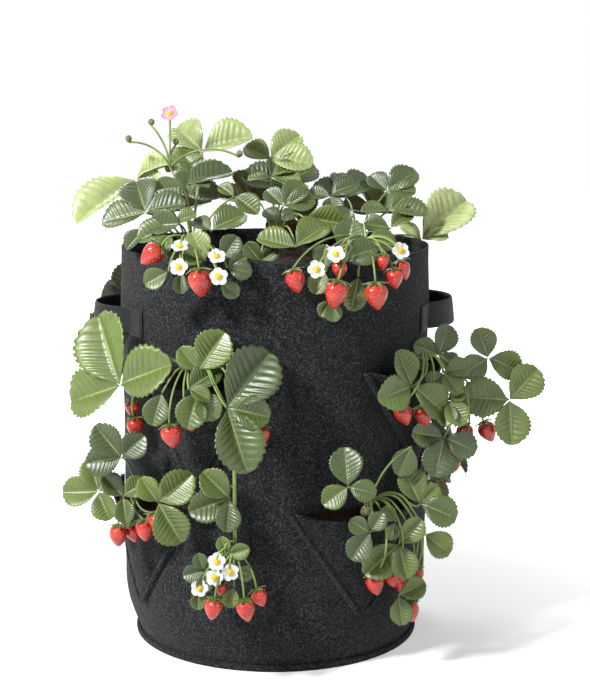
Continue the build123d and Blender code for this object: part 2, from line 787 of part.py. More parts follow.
pocket_leaves = {
    "upper_front_left": leaves_upper_left,
    "lower_front_left": leaves_lower_left,
    "upper_front_right": leaves_upper_right,
    "lower_front_right": leaves_lower_right,
}
pocket_berries = {
    "upper_front_left": berries_upper_left,
    "lower_front_left": berries_lower_left,
    "upper_front_right": berries_upper_right,
    "lower_front_right": berries_lower_right,
}
rear_fruit = []
for name, azimuth, mouth in pocket_sections():
    out = around(azimuth, bag_radius - drawn_radius, 0)
    if name in pocket_leaves:
        out += Vector(0, 0, mouth - drawn_mouths[name.split("_")[0]])
        leaves, fruit = carried(pocket_leaves[name], out), carried(pocket_berries[name], out)
    else:
        leaves = carried(rear_leaves(azimuth, mouth), out)
        fruit = carried(rear_berries(azimuth, mouth), out)
    fill_height = mouth - pocket_height * (1 - pocket_fill)
    crown = around(azimuth, pocket_seat_radius + pocket_crown_radius + seat,
                   fill_height + pocket_crown_radius + seat)
    stalks = [pocket_stalk(crown, mouth, leaf[0]) for leaf in leaves]
    for place, width, lean in fruit:
        stalks.append(sepals(place, width, lean))
        stalks.append(pocket_stalk(crown, mouth, tuple(berry_top(place, lean))))
    if name == "upper_front_left":
        runner_shift = out
        pin = Vector(runner_x, runner_y, runner_top + runner_pin_gap) + runner_shift
        stalks.append(pocket_stalk(crown, mouth, tuple(pin)))
    save_plant(name, crown, pocket_crown_radius, leaves, stalks)
    berries = [berry(*b) for b in fruit]
    if name in pocket_berries:
        save(f"berries_{name}", berries)
    else:
        rear_fruit += berries
save("berries_rear", rear_fruit)


def top_crown(name):
    x, y = top_crowns[name]
    return Vector(x, y, soil_top(math.hypot(x, y)) + crown_radius + seat)


top_leaves = {"top_left": leaves_top_left, "top_middle": leaves_top_middle, "top_right": leaves_top_right}
rim_trusses = {
    "top_left": ("rim_left", leaves_rim_left, berries_rim_left, flowers_rim_left),
    "top_right": ("rim_right", leaves_rim_right, berries_rim_right, flowers_rim_right),
}
soil_shift = Vector(0, 0, soil_height - drawn_soil_height)
rim_shift = Vector(0, drawn_radius - bag_radius, bag_height - drawn_height)
for name, drawn_leaves in top_leaves.items():
    crown = top_crown(name)
    leaves = carried(drawn_leaves, soil_shift)
    stalks = [arched_stalk(crown_surface(crown, crown_radius, leaf[0]), leaf[0]) for leaf in leaves]
    save_plant(name, crown, crown_radius, leaves, stalks)
    if name not in rim_trusses:
        continue
    truss, *drawn_truss = rim_trusses[name]
    rim_leaves, rim_fruit, rim_flowers = [carried(rows, rim_shift) for rows in drawn_truss]
    knot = Vector(crown.X, rim_knot_inset - bag_radius, bag_height + rim_knot_rise)
    stalks = [arched_stalk(crown_surface(crown, crown_radius, knot), knot)]
    stalks += [arched_stalk(knot, leaf[0]) for leaf in rim_leaves]
    for spot, width, lean in rim_fruit:
        stalks.append(sepals(spot, width, lean))
        stalks.append(arched_stalk(knot, berry_top(spot, lean)))
    stalks += [arched_stalk(knot, flower_back(*f)) for f in rim_flowers]
    save(f"stalks_{truss}", stalks)
    save(f"leaves_{truss}", [b for leaf in rim_leaves for b in leaf_blades(*leaf)])
    save(f"berries_{truss}", [berry(*b) for b in rim_fruit])
    save(f"flowers_{truss}", [s for f in rim_flowers for s in flower(*f)])

fork = Vector(*top_flower_fork) + soil_shift
top_flower = carried([pink_flower], soil_shift)[0]
bud_feet = [Vector(*bud) + soil_shift for bud in top_buds]
flower_stalks = [arched_stalk(crown_surface(top_crown("top_left"), crown_radius, fork), fork)]
flower_stalks.append(arched_stalk(fork, flower_back(*top_flower)))
flower_stalks += [arched_stalk(fork, foot) for foot in bud_feet]
bud_shape = Solid.make_sphere(bud_radius, angle1=-90, angle2=90, angle3=360)
buds = [bud_shape.moved(Location(foot + Vector(0, 0, bud_radius + seat))) for foot in bud_feet]
save("stalks_top_flower", flower_stalks)
save("flowers_top", flower(*top_flower) + buds)

runner_head = Vector(runner_x, runner_y, runner_top) + runner_shift
runner_foot = Vector(runner_x, runner_y, runner_bottom) + runner_shift
runner_leaves = carried(leaves_runner, runner_shift)
runner_fruit = carried(berries_runner, runner_shift)
runner_flowers = carried(flowers_runner, runner_shift)
runner_stalks = [stalk([Edge.make_line(runner_head, runner_foot)], runner_radius)]
for leaf in runner_leaves:
    joint = Vector(*leaf[0])
    fork_height = max(runner_foot.Z + runner_fork_least, joint.Z + runner_fork_rise)
    runner_stalks.append(arched_stalk(Vector(runner_foot.X, runner_foot.Y, fork_height), joint))
for spot, width, lean in runner_fruit:
    runner_stalks.append(sepals(spot, width, lean))
    runner_stalks.append(arched_stalk(runner_foot, berry_top(spot, lean)))
for f in runner_flowers:
    runner_stalks.append(arched_stalk(runner_foot, flower_back(*f)))
save("runner_stem", runner_stalks)
save("runner_leaves", [b for leaf in runner_leaves for b in leaf_blades(*leaf)])
save("runner_berries", [berry(*b) for b in runner_fruit])
save("runner_flowers", [s for f in runner_flowers for s in flower(*f)])
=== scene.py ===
import math
import random

import bpy
import numpy as np
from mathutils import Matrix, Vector, noise

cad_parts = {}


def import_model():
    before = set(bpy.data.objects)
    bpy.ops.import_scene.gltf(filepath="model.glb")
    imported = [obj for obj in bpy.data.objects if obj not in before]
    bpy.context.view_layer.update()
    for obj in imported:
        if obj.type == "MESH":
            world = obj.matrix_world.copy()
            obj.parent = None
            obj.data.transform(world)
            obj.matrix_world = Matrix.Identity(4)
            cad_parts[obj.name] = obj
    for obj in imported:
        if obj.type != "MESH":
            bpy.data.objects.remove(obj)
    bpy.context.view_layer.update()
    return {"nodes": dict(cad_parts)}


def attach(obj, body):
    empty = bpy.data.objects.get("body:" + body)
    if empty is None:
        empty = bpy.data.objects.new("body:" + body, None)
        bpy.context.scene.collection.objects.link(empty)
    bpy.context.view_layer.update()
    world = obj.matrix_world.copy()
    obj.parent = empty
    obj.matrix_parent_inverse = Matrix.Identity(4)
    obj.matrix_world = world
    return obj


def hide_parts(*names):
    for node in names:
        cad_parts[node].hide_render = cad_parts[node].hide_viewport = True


# The looks of a planted strawberry grow bag. Metres, in the CAD part's frame:
# the origin is the middle of the base on the floor and the front is toward -Y.

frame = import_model()
random.seed(7)

# The bag's sizes, as in the CAD part
bag_radius = 0.175
bag_height = 0.450
felt = 0.0025
base_radius = 0.160
shoulder_height = 0.075
binding_width = 0.004
binding_height = 0.007
seat = 0.0003
pocket_height = 0.121
pocket_half_angle = 29.5
pocket_bulge = 0.020
hem_width = 0.0087
hem_rise = 0.005
hem_meeting_gap = 0.002
lip_sag = 0.012
mouths = {"lower": 0.183, "upper": 0.328}
first_azimuths = {"lower": 32.5, "upper": 61.5}
slit_height = 0.012
slit_below_mouth = 0.002
slit_half_angle = 20.0
pocket_fill = 0.90
handle_azimuths = {"right": 95.65, "left": -84.35}
strap_width = 0.030
strap_thickness = 0.002
strap_top = 0.389
strap_reach = 0.031
strap_half_span = 0.0579
sewn_end_angle = 10.7
soil_height = 0.428
soil_crown = 0.006

skin = bag_radius + seat
strap_skin = skin + strap_thickness
soil_edge = bag_radius - felt - seat

# Plants
teeth = 11
rows_in_tooth = 4
blade_columns = 15
leaf_thickness = 0.00035
leaf_half_share = 0.475       # a leaflet's half-width over its length, before it is folded
tooth_depth_share = 0.024
pleat_share = 0.012
ripple_share = 0.014
leaflet_lift = 0.0022         # keeps the leaflets of one leaf apart where they meet
same_joint = 0.003            # leaflets whose bases are nearer than this make one leaf
corner_reach = 0.0012         # the points at one end of a CAD leaflet lie this near each other
sepal_share = 0.62            # a sepal star's radius over its berry's width
berry_height_share = 1.15
seeds_on_berry = 70           # on a berry of the usual width
usual_berry_width = 0.020
heart_share = 0.28            # a flower's yellow middle over its radius
pistils = 30
stamens = 18
disc_thickness = 0.0011       # petal and sepal discs in the CAD part are thinner than this
disc_width = 0.006            # and wider than this
eye_thickness = 0.0025
golden_angle = 2.39996
any_turn = (0, 6.28)


# Camera

camera_place = (0.0, -1.8705, 0.6649)
camera_down = 0.17521
camera_yaw = 0.01204
focal_pixels = 1649.1
long_side_pixels = 689
sensor = 36.0

camera = bpy.data.objects.new("camera", bpy.data.cameras.new("camera"))
camera.data.sensor_width = sensor
camera.data.lens = focal_pixels / long_side_pixels * sensor
camera.location = camera_place
camera.rotation_euler = (math.pi / 2 - camera_down, 0, -camera_yaw)
bpy.context.scene.collection.objects.link(camera)
bpy.context.scene.camera = camera


# Materials

class Paint:
    """A node material with one Principled shader."""

    def __init__(self, name, **values):
        self.material = bpy.data.materials.new(name)
        self.material.use_nodes = True
        self.tree = self.material.node_tree
        self.shader = self.tree.nodes["Principled BSDF"]
        for key, value in values.items():
            self.shader.inputs[key.replace("_", " ")].default_value = value

    def node(self, kind, links=None, **values):
        made = self.tree.nodes.new("ShaderNode" + kind)
        for key, value in values.items():
            setattr(made, key, value)
        for slot, value in (links or {}).items():
            if isinstance(value, bpy.types.NodeSocket):
                self.tree.links.new(value, made.inputs[slot])
            else:
                made.inputs[slot].default_value = value
        return made

    def place(self):
        return self.node("TexCoord").outputs["Object"]

    def math(self, operation, first, second=0.0, clamp=False):
        return self.node("Math", {0: first, 1: second}, operation=operation, use_clamp=clamp).outputs[0]

    def span(self, value, low, high, start=0.0, end=1.0):
        """A value taken smoothly from one range to another, and held at its ends."""
        made = self.node("MapRange", {0: value, 1: low, 2: high, 3: start, 4: end},
                         interpolation_type="SMOOTHSTEP")
        return made.outputs[0]

    def speckle(self, scale, detail=2.0, roughness=0.5, stretch=(1, 1, 1)):
        spot = self.node("Mapping", {"Vector": self.place(), "Scale": stretch}).outputs[0]
        made = self.node("TexNoise", {"Vector": spot, "Scale": scale, "Detail": detail,
                                      "Roughness": roughness})
        return made.outputs["Fac"]

    def blend(self, share, first, second):
        made = self.node("Mix", {0: share}, data_type="RGBA")
        for socket, value in ((made.inputs[6], first), (made.inputs[7], second)):
            if isinstance(value, bpy.types.NodeSocket):
                self.tree.links.new(value, socket)
            else:
                socket.default_value = (*value, 1.0)
        return made.outputs[2]

    def colour(self, socket):
        self.tree.links.new(socket, self.shader.inputs["Base Color"])

    def roughness(self, socket):
        self.tree.links.new(socket, self.shader.inputs["Roughness"])

    def bump(self, height, distance, strength=1.0):
        made = self.node("Bump", {"Height": height, "Distance": distance, "Strength": strength})
        self.tree.links.new(made.outputs[0], self.shader.inputs["Normal"])


def felt_paint(name, dark, light):
    """Needle-punched felt: mottled, with fine pale fibres lying every way."""
    paint = Paint(name, Roughness=0.95, Sheen_Weight=0.05, Sheen_Roughness=0.6, Specular_IOR_Level=0.15)
    mottle = paint.speckle(38, 4, 0.6)
    tone = paint.blend(paint.span(mottle, 0.3, 0.7), dark, light)
    grit = paint.speckle(430, 3, 0.8)
    tone = paint.blend(paint.span(grit, 0.48, 0.64, 0, 1.0), tone, tuple(7 * c for c in light))
    tone = paint.blend(paint.span(grit, 0.30, 0.45, 0.7, 0.0), tone, tuple(0.35 * c for c in dark))
    fibres = None
    for scale, stretch in ((190, (1, 1, 3)), (260, (2.5, 2.5, 1)), (330, (1.4, 0.8, 1.8))):
        wander = paint.speckle(scale, 1.5, 0.5, stretch)
        line = paint.span(paint.math("ABSOLUTE", paint.math("SUBTRACT", wander, 0.5)), 0.0, 0.012, 1.0, 0.0)
        fibres = line if fibres is None else paint.math("MAXIMUM", fibres, line)
    gate = paint.span(paint.speckle(120, 1), 0.5, 0.62)
    fibres = paint.math("MULTIPLY", fibres, gate)
    tone = paint.blend(paint.math("MULTIPLY", fibres, 0.6), tone, tuple(9 * c for c in light))
    paint.colour(tone)
    height = paint.math("ADD", paint.speckle(420, 4, 0.7), paint.math("MULTIPLY", fibres, 0.5))
    paint.bump(height, 0.0009, 0.9)
    return paint.material


def webbing_paint():
    """Woven polypropylene: fine ribs along the strap."""
    paint = Paint("webbing", Roughness=0.65, Sheen_Weight=0.03, Specular_IOR_Level=0.25)
    ribs = paint.node("TexWave", {"Vector": paint.place(), "Scale": 210.0, "Distortion": 0.4,
                                  "Detail": 1.0}, bands_direction="Z").outputs["Fac"]
    weft = paint.speckle(700, 1, 0.5, (1, 1, 0.3))
    weave = paint.math("MULTIPLY", ribs, paint.span(weft, 0.3, 0.6, 0.5, 1.0))
    paint.colour(paint.blend(weave, (0.004, 0.004, 0.0045), (0.019, 0.0195, 0.021)))
    paint.bump(weave, 0.0006, 0.8)
    return paint.material


def thread_paint():
    paint = Paint("thread", Roughness=0.7)
    twist = paint.speckle(2500, 1)
    paint.colour(paint.blend(twist, (0.02, 0.02, 0.022), (0.075, 0.075, 0.08)))
    return paint.material


def soil_paint():
    paint = Paint("potting mix", Roughness=0.95, Specular_IOR_Level=0.2)
    clods = paint.speckle(160, 5, 0.7)
    tone = paint.blend(paint.span(clods, 0.35, 0.7), (0.012, 0.007, 0.004), (0.075, 0.045, 0.026))
    flecks = paint.node("TexVoronoi", {"Vector": paint.place(), "Scale": 210.0}).outputs["Distance"]
    tone = paint.blend(paint.span(flecks, 0.1, 0.16, 0.6, 0.0), tone, (0.22, 0.15, 0.09))
    paint.colour(tone)
    paint.bump(clods, 0.003, 0.9)
    return paint.material


def leaf_paint(name, deep, fresh, pale, vein, vein_share):
    """A leaf with a pale midrib and a side vein to each tooth."""
    paint = Paint(name, Roughness=0.40, Specular_IOR_Level=0.5, Subsurface_Weight=0.08,
                  Subsurface_Scale=0.002, Coat_Weight=0.45, Coat_Roughness=0.28)
    marks = paint.node("Attribute", attribute_name="blade").outputs["Vector"]
    split = paint.node("SeparateXYZ", {0: marks})
    along, across, tint = split.outputs[0], split.outputs[1], split.outputs[2]
    side = paint.math("ABSOLUTE", across)
    base = paint.blend(paint.span(tint, 0.0, 0.5), deep, fresh)
    # a tint over one half takes the leaf toward the pale colour: mostly painted backlight, with a little
    # random tone
    base = paint.blend(paint.span(tint, 0.5, 1.0), base, pale)
    mottle = paint.speckle(60, 4, 0.6)
    base = paint.blend(paint.span(mottle, 0.35, 0.75, 0.0, 0.35), base, tuple(0.55 * c for c in deep))
    # painted shade: darker along the midrib and toward the leaflet's base, in the crease of the fold
    heart = paint.math("MULTIPLY", paint.span(side, 0.0, 0.8, 0.45, 0.0),
                       paint.span(along, 0.3, 1.0, 1.0, 0.3))
    base = paint.blend(heart, base, deep)
    phase = paint.math("FRACT", paint.math("MULTIPLY", along, float(teeth)))
    off = paint.math("ABSOLUTE", paint.math("SUBTRACT", phase, 0.5))
    ribs = paint.span(off, 0.01, 0.10, 0.30, 0.0)
    ribs = paint.math("MULTIPLY", ribs, paint.span(side, 0.45, 1.0, 1.0, 0.1))
    spine = paint.math("MULTIPLY", paint.span(side, 0.015, 0.05, 1.0, 0.0),
                       paint.span(along, 0.5, 1.0, 1.0, 0.4))
    veins = paint.math("MAXIMUM", ribs, spine)
    paint.colour(paint.blend(paint.math("MULTIPLY", veins, vein_share), base, vein))
    paint.roughness(paint.span(mottle, 0.3, 0.7, 0.36, 0.58))
    cells = paint.node("TexVoronoi", {"Vector": paint.place(), "Scale": 700.0}).outputs["Distance"]
    paint.bump(paint.math("SUBTRACT", cells, veins), 0.00035, 0.6)
    return paint.material


def stem_paint():
    paint = Paint("stem", Roughness=0.5, Subsurface_Weight=0.1, Subsurface_Scale=0.002)
    mottle = paint.speckle(35, 3)
    base = paint.blend(paint.span(mottle, 0.35, 0.65), (0.13, 0.21, 0.05), (0.27, 0.36, 0.10))
    blush = paint.speckle(14, 2)
    paint.colour(paint.blend(paint.span(blush, 0.55, 0.75, 0.0, 0.5), base, (0.28, 0.10, 0.05)))
    paint.bump(paint.speckle(900, 1, 0.5, (1, 1, 0.2)), 0.0002, 0.5)
    return paint.material


def berry_paint():
    """Ripe red, paler toward the shoulder, with painted shade in the seed pits; the blade mark's z is the
    height up the berry and its x how deep in a pit.
    """
    paint = Paint("berry", Roughness=0.28, Coat_Weight=0.4, Coat_Roughness=0.12, Subsurface_Weight=0.15,
                  Subsurface_Scale=0.003)
    marks = paint.node("Attribute", attribute_name="blade").outputs["Vector"]
    split = paint.node("SeparateXYZ", {0: marks})
    mottle = paint.speckle(90, 3)
    ripe = paint.blend(paint.span(mottle, 0.3, 0.7), (0.50, 0.009, 0.009), (0.70, 0.030, 0.016))
    height = paint.math("ADD", split.outputs[2], paint.math("MULTIPLY", mottle, 0.12))
    ripe = paint.blend(paint.span(height, 0.93, 1.08, 0.0, 0.75), ripe, (0.80, 0.20, 0.07))
    # painted shade: the seed pits, carried in the blade mark's x, are taken halfway to a dark red
    paint.colour(paint.blend(paint.math("MULTIPLY", split.outputs[0], 0.5), ripe, (0.30, 0.006, 0.006)))
    paint.bump(paint.speckle(800, 2), 0.00015, 0.4)
    return paint.material


def petal_paint(name, inner, outer):
    paint = Paint(name, Roughness=0.6, Subsurface_Weight=0.15, Subsurface_Scale=0.002,
                  Specular_IOR_Level=0.3)
    marks = paint.node("Attribute", attribute_name="blade").outputs["Vector"]
    split = paint.node("SeparateXYZ", {0: marks})
    fan = paint.node("TexWave", {"Vector": marks, "Scale": 3.5, "Distortion": 1.0},
                     bands_direction="Y").outputs["Fac"]
    tone = paint.blend(paint.span(split.outputs[0], 0.05, 0.6), inner, outer)
    paint.colour(paint.blend(paint.math("MULTIPLY", fan, 0.12), tone, inner))
    paint.bump(fan, 0.0003, 0.4)
    return paint.material


def plain_paint(name, first, second, scale, roughness=0.6):
    paint = Paint(name, Roughness=roughness)
    grain = paint.speckle(scale, 3)
    paint.colour(paint.blend(paint.span(grain, 0.35, 0.65), first, second))
    paint.bump(grain, 0.0003, 0.5)
    return paint.material


felt_look = felt_paint("felt", (0.0050, 0.0054, 0.0060), (0.0085, 0.0091, 0.0099))
welt_look = felt_paint("felt welt", (0.0050, 0.0054, 0.0060), (0.0085, 0.0090, 0.0098))
webbing_look = webbing_paint()
thread_look = thread_paint()
soil_look = soil_paint()
leaf_look = leaf_paint("leaf", (0.030, 0.060, 0.006), (0.118, 0.180, 0.017), (0.54, 0.64, 0.27),
                       (0.40, 0.47, 0.16), 0.55)
leaf_under_look = leaf_paint("leaf underside", (0.19, 0.27, 0.12), (0.27, 0.36, 0.17),
                             (0.48, 0.56, 0.32), (0.50, 0.58, 0.34), 0.6)
stem_look = stem_paint()
berry_look = berry_paint()
seed_look = plain_paint("seed", (0.62, 0.36, 0.08), (0.85, 0.62, 0.20), 900, 0.4)
petal_look = petal_paint("petal", (0.78, 0.80, 0.55), (0.90, 0.90, 0.88))
pink_look = petal_paint("pink petal", (0.90, 0.70, 0.74), (0.76, 0.30, 0.46))
eye_look = plain_paint("flower eye", (0.75, 0.48, 0.02), (0.90, 0.72, 0.08), 1200, 0.7)
bud_look = plain_paint("bud", (0.14, 0.03, 0.06), (0.34, 0.10, 0.14), 160)
crown_look = plain_paint("crown", (0.10, 0.07, 0.03), (0.24, 0.26, 0.09), 260, 0.8)


# Meshes

def grid_faces(rows, columns, closed):
    """The four-cornered faces of a grid of points, in rows and columns."""
    index = np.arange(rows * columns).reshape(rows, columns)
    if closed:
        index = np.hstack([index, index[:, :1]])
    return np.stack([index[:-1, :-1], index[:-1, 1:], index[1:, 1:], index[1:, :-1]], -1)


class Pile:
    """Grids of points gathered into one mesh."""

    def __init__(self):
        self.points, self.faces, self.slots, self.marks = [], [], [], []
        self.count = 0

    def add(self, points, faces, slot=0, marks=None):
        points = np.asarray(points, float).reshape(-1, 3)
        marks = np.zeros((len(points), 3)) if marks is None else np.asarray(marks, float).reshape(-1, 3)
        self.faces += (np.asarray(faces) + self.count).tolist()
        self.slots += [slot] * len(faces)
        self.points.append(points)
        self.marks.append(marks)
        self.count += len(points)

    def grid(self, points, closed=False, slot=0, marks=None):
        """Faces look along (next column) x (next row)."""
        self.add(points, grid_faces(*points.shape[:2], closed).reshape(-1, 4), slot, marks)

    def build(self, name, looks, body, *nodes, smooth=True, slot=None):
        mesh = bpy.data.meshes.new(name)
        mesh.from_pydata(np.concatenate(self.points).tolist(), [], self.faces)
        mesh.polygons.foreach_set("material_index", self.slots)
        mesh.polygons.foreach_set("use_smooth", [smooth] * len(self.faces))
        mark = mesh.attributes.new("blade", "FLOAT_VECTOR", "POINT")
        mark.data.foreach_set("vector", np.concatenate(self.marks).ravel())
        for look in looks:
            mesh.materials.append(look)
        piece = bpy.data.objects.new(name, mesh)
        bpy.context.scene.collection.objects.link(piece)
        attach(piece, body)
        if nodes:
            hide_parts(*nodes)
        return piece


def solidify(piece, thickness, offset=-1.0, under=0):
    made = piece.modifiers.new("thickness", "SOLIDIFY")
    made.thickness = thickness
    made.offset = offset
    made.material_offset = under
    return made


def around(azimuth, radius, height):
    """Points from azimuths in degrees from the front toward +X, radii and heights."""
    a = np.radians(azimuth)
    return np.stack(np.broadcast_arrays(radius * np.sin(a), -radius * np.cos(a), height), -1)


def waves(points, scale, stretch=(1, 1, 1)):
    """Smooth noise from -1 to 1 at each point."""
    flat = (points * np.array(stretch) * scale).reshape(-1, 3)
    return np.array([noise.noise(Vector(p)) for p in flat]).reshape(points.shape[:-1])


def settle(points):
    """The slack of stuffed felt: the same small swell for all that is sewn to the bag."""
    swell = 0.0022 * waves(points, 7.0) + 0.0008 * waves(points, 22.0)
    reach = np.hypot(points[..., 0], points[..., 1])
    share = 1 + swell / np.maximum(reach, 0.05)
    moved = points.copy()
    moved[..., 0] *= share
    moved[..., 1] *= share
    return moved


def loose_parts(node):
    """The separate solids of a CAD node, each as its points and triangles."""
    mesh = frame["nodes"][node].data
    co = np.empty(len(mesh.vertices) * 3)
    mesh.vertices.foreach_get("co", co)
    mesh.calc_loop_triangles()
    corners = np.empty(len(mesh.loop_triangles) * 3, int)
    mesh.loop_triangles.foreach_get("vertices", corners)
    points, same = np.unique(np.round(co.reshape(-1, 3), 6), axis=0, return_inverse=True)
    triangles = same.ravel()[corners].reshape(-1, 3)
    label = np.arange(len(points))
    while True:
        lowest = label[triangles].min(1)
        fresh = label.copy()
        for corner in range(3):
            np.minimum.at(fresh, triangles[:, corner], lowest)
        if (fresh == label).all():
            break
        label = fresh
    parts = []
    for group in np.unique(label[triangles[:, 0]]):
        chosen = triangles[label[triangles[:, 0]] == group]
        used, local = np.unique(chosen, return_inverse=True)
        parts.append((points[used], local.reshape(-1, 3)))
    return parts


def unit(vector):
    return vector / np.linalg.norm(vector)


def principal(points):
    """A part's middle, its three directions from longest to shortest, and its size along each."""
    middle = (points.max(0) + points.min(0)) / 2
    spread = points - points.mean(0)
    directions = np.linalg.svd(spread, full_matrices=False)[2]
    along = spread @ directions.T
    return middle, directions, along.max(0) - along.min(0)


def to_world(points, origin, x_way, y_way, z_way):
    return origin + points[..., :1] * x_way + points[..., 1:2] * y_way + points[..., 2:3] * z_way


# Felt drum

def drum_profile(radius_offset):
    """Heights and radii up the drum's side, rounded in to its base."""
    drop = shoulder_height - binding_height - seat
    inward = bag_radius - base_radius
    curve = (drop ** 2 + inward ** 2) / (2 * inward)
    heights = np.concatenate([np.linspace(felt + seat, shoulder_height, 22)[:-1],
                              np.linspace(shoulder_height, bag_height, 104)])
    below = np.clip(shoulder_height - heights, 0, drop)
    radii = bag_radius - curve + np.sqrt(curve ** 2 - below ** 2) - radius_offset
    return heights, radii


def pockets():
    places = []
    for row in ("lower", "upper"):
        for index in range(4):
            azimuth = (first_azimuths[row] + 90 * index + 180) % 360 - 180
            ahead = "front" if abs(azimuth) < 90 else "rear"
            side = "right" if azimuth > 0 else "left"
            places.append((f"{row}_{ahead}_{side}", azimuth, mouths[row]))
    return places


def felt_wall():
    heights, radii = drum_profile(0)
    azimuths = np.arange(0, 360, 1.25)
    grid = around(azimuths[None, :], radii[:, None], heights[:, None])
    rise = np.clip((heights - 0.36) / 0.09, 0, 1)[:, None] ** 2
    ring = around(azimuths, 1.0, 0.0)
    rim_wave = 0.0016 * waves(ring, 2.2) + 0.0007 * waves(ring, 7.0)
    grid[..., 2] += rise * rim_wave[None, :]
    grid = settle(grid)
    pile = Pile()
    quads = grid_faces(*grid.shape[:2], True)
    keep = np.ones(quads.shape[:2], bool)
    for name, azimuth, mouth in pockets():
        off = np.abs((azimuths + 0.6 - azimuth + 180) % 360 - 180)
        middle = (heights[:-1] + heights[1:]) / 2
        low = (middle > mouth - slit_below_mouth - slit_height) & (middle < mouth - slit_below_mouth)
        keep &= ~(low[:, None] & (off < slit_half_angle)[None, :])
    pile.add(grid, quads[keep])
    wall = pile.build("felt_wall", [felt_look], "bag", "bag_wall", slot="felt")
    solidify(wall, felt)


def disc(rings, azimuths, height):
    """A round sheet's points, from its middle out."""
    return around(azimuths[None, :], rings[:, None], height)


def felt_base():
    azimuths = np.arange(0, 360, 3.75)
    rings = np.linspace(0.002, base_radius, 24)
    top = disc(rings, azimuths, felt)
    edge = disc(np.array([base_radius]), azimuths, felt)
    under = disc(rings[::-1], azimuths, 0.0)
    pile = Pile()
    pile.grid(np.concatenate([top, edge, under])[:, ::-1], closed=True)
    pile.build("felt_base", [felt_look], "bag", "bag_base", slot="felt")


def welt():
    """The rolled seam round the base."""
    azimuths = np.arange(0, 360, 1.5)
    turns = np.linspace(0, 2 * math.pi, 17)[:-1]
    middle = base_radius + seat + binding_width / 2
    half, tall = binding_width / 2, binding_height / 2
    lean = np.abs(np.cos(turns)) ** 0.6 * np.sign(np.cos(turns))
    lift = np.abs(np.sin(turns)) ** 0.6 * np.sign(np.sin(turns))
    ring = around(azimuths, 1.0, 0.0)
    puff = 1 + 0.10 * waves(ring, 30.0)
    grid = around(azimuths[:, None], middle + half * lean[None, :] * puff[:, None],
                  tall + tall * lift[None, :] * np.minimum(puff, 1)[:, None])
    pile = Pile()
    pile.grid(np.concatenate([grid, grid[:1]])[:, ::-1], closed=True)
    pile.build("base_welt", [welt_look], "bag", "base_binding", slot="binding")


def back_seam():
    """A strip of felt over the wall's joint, turned under at both sides."""
    azimuth, width, top = 182.0, 0.005, bag_height - 0.003
    heights = np.linspace(shoulder_height, top, 90)
    angles = np.degrees(width / 2 / bag_radius) * np.array([-1, -0.95, -0.6, 0, 0.6, 0.95, 1])
    lift = felt * np.array([0, 0.7, 1, 0.9, 1, 0.7, 0])
    grid = settle(around(azimuth + angles[None, :], skin + lift[None, :], heights[:, None]))
    pile = Pile()
    pile.grid(grid)
    pile.build("back_seam_tape", [felt_look], "bag", "back_seam", slot="felt")


# Pockets

hem_angle = math.degrees(hem_width / (bag_radius + 0.00045))
apex_half_angle = hem_angle + math.degrees(hem_meeting_gap / 2 / (bag_radius + 0.00045))


def flap_rows(shares, mouth):
    """For rows up a flap: the height, and the angles of its edge and of its fold."""
    height = mouth - pocket_height * (1 - shares)
    edge = apex_half_angle + (pocket_half_angle - apex_half_angle) * shares
    return height, edge, edge - hem_angle


def flap(name, azimuth, mouth):
    """A sewn flap: a hanging sheet that bulges to its mouth, between two folded hems."""
    shares = np.linspace(0.0, 1.0, 42)
    height, edge, fold = flap_rows(shares, mouth)
    hem_steps = np.linspace(0, 1, 8)
    sheet_steps = np.linspace(-1, 1, 45)
    seat_radius = skin + 0.00015
    rib = hem_rise * np.sqrt(np.clip(1 - (2 * hem_steps - 1) ** 2, 0, 1)) ** 0.7
    left = -edge[:, None] + hem_angle * hem_steps[None, :-1]
    middle = fold[:, None] * sheet_steps[None, :]
    right = fold[:, None] + hem_angle * hem_steps[None, 1:]
    angle = np.hstack([left, middle, right])
    swell = shares[:, None] ** 1.1 * (1 - np.abs(sheet_steps[None, :]) ** 2.4)
    sheet = felt + pocket_bulge * swell
    rib_left = np.maximum(rib[None, :-1], 0.0) * np.ones((len(shares), 1))
    rib_right = np.maximum(rib[None, 1:], 0.0) * np.ones((len(shares), 1))
    lift = np.hstack([rib_left, sheet, rib_right])
    sag = np.hstack([0 * left, shares[:, None] ** 3 * (1 - sheet_steps[None, :] ** 2) + 0 * middle,
                     0 * right])
    z = height[:, None] - lip_sag * sag
    outer = around(azimuth + angle, seat_radius + lift, z)
    crease = waves(outer, 26.0, (1, 1, 0.5)) * 0.0016 + waves(outer, 70.0) * 0.0005
    calm = np.hstack([0 * left + 0.25, 1 - 0.75 * np.abs(sheet_steps[None, :]) ** 6 + 0 * middle,
                      0 * right + 0.25])
    lift = np.maximum(lift + crease * calm, np.minimum(lift, 0.0006))
    outer = around(azimuth + angle, seat_radius + lift, z)
    inner_lift = np.hstack([0 * left, np.maximum(sheet - felt, 0), 0 * right])
    inner = around(azimuth + angle, seat_radius + inner_lift, z)
    loop = np.hstack([outer, inner[:, ::-1]])
    top_outer, top_inner = outer[-1], inner[-1]
    centre = (top_outer + top_inner) / 2
    rows = [loop]
    for shrink, rise in ((0.75, 0.0007), (0.0, 0.0011)):
        ring = np.vstack([centre + shrink * (top_outer - centre),
                          (centre + shrink * (top_inner - centre))[::-1]])
        ring[:, 2] += rise
        rows.append(ring[None])
    grid = settle(np.concatenate(rows))
    pile = Pile()
    pile.grid(grid, closed=True)
    pile.build(f"flap_{name}", [felt_look], "bag", f"pocket_{name}", slot="felt")


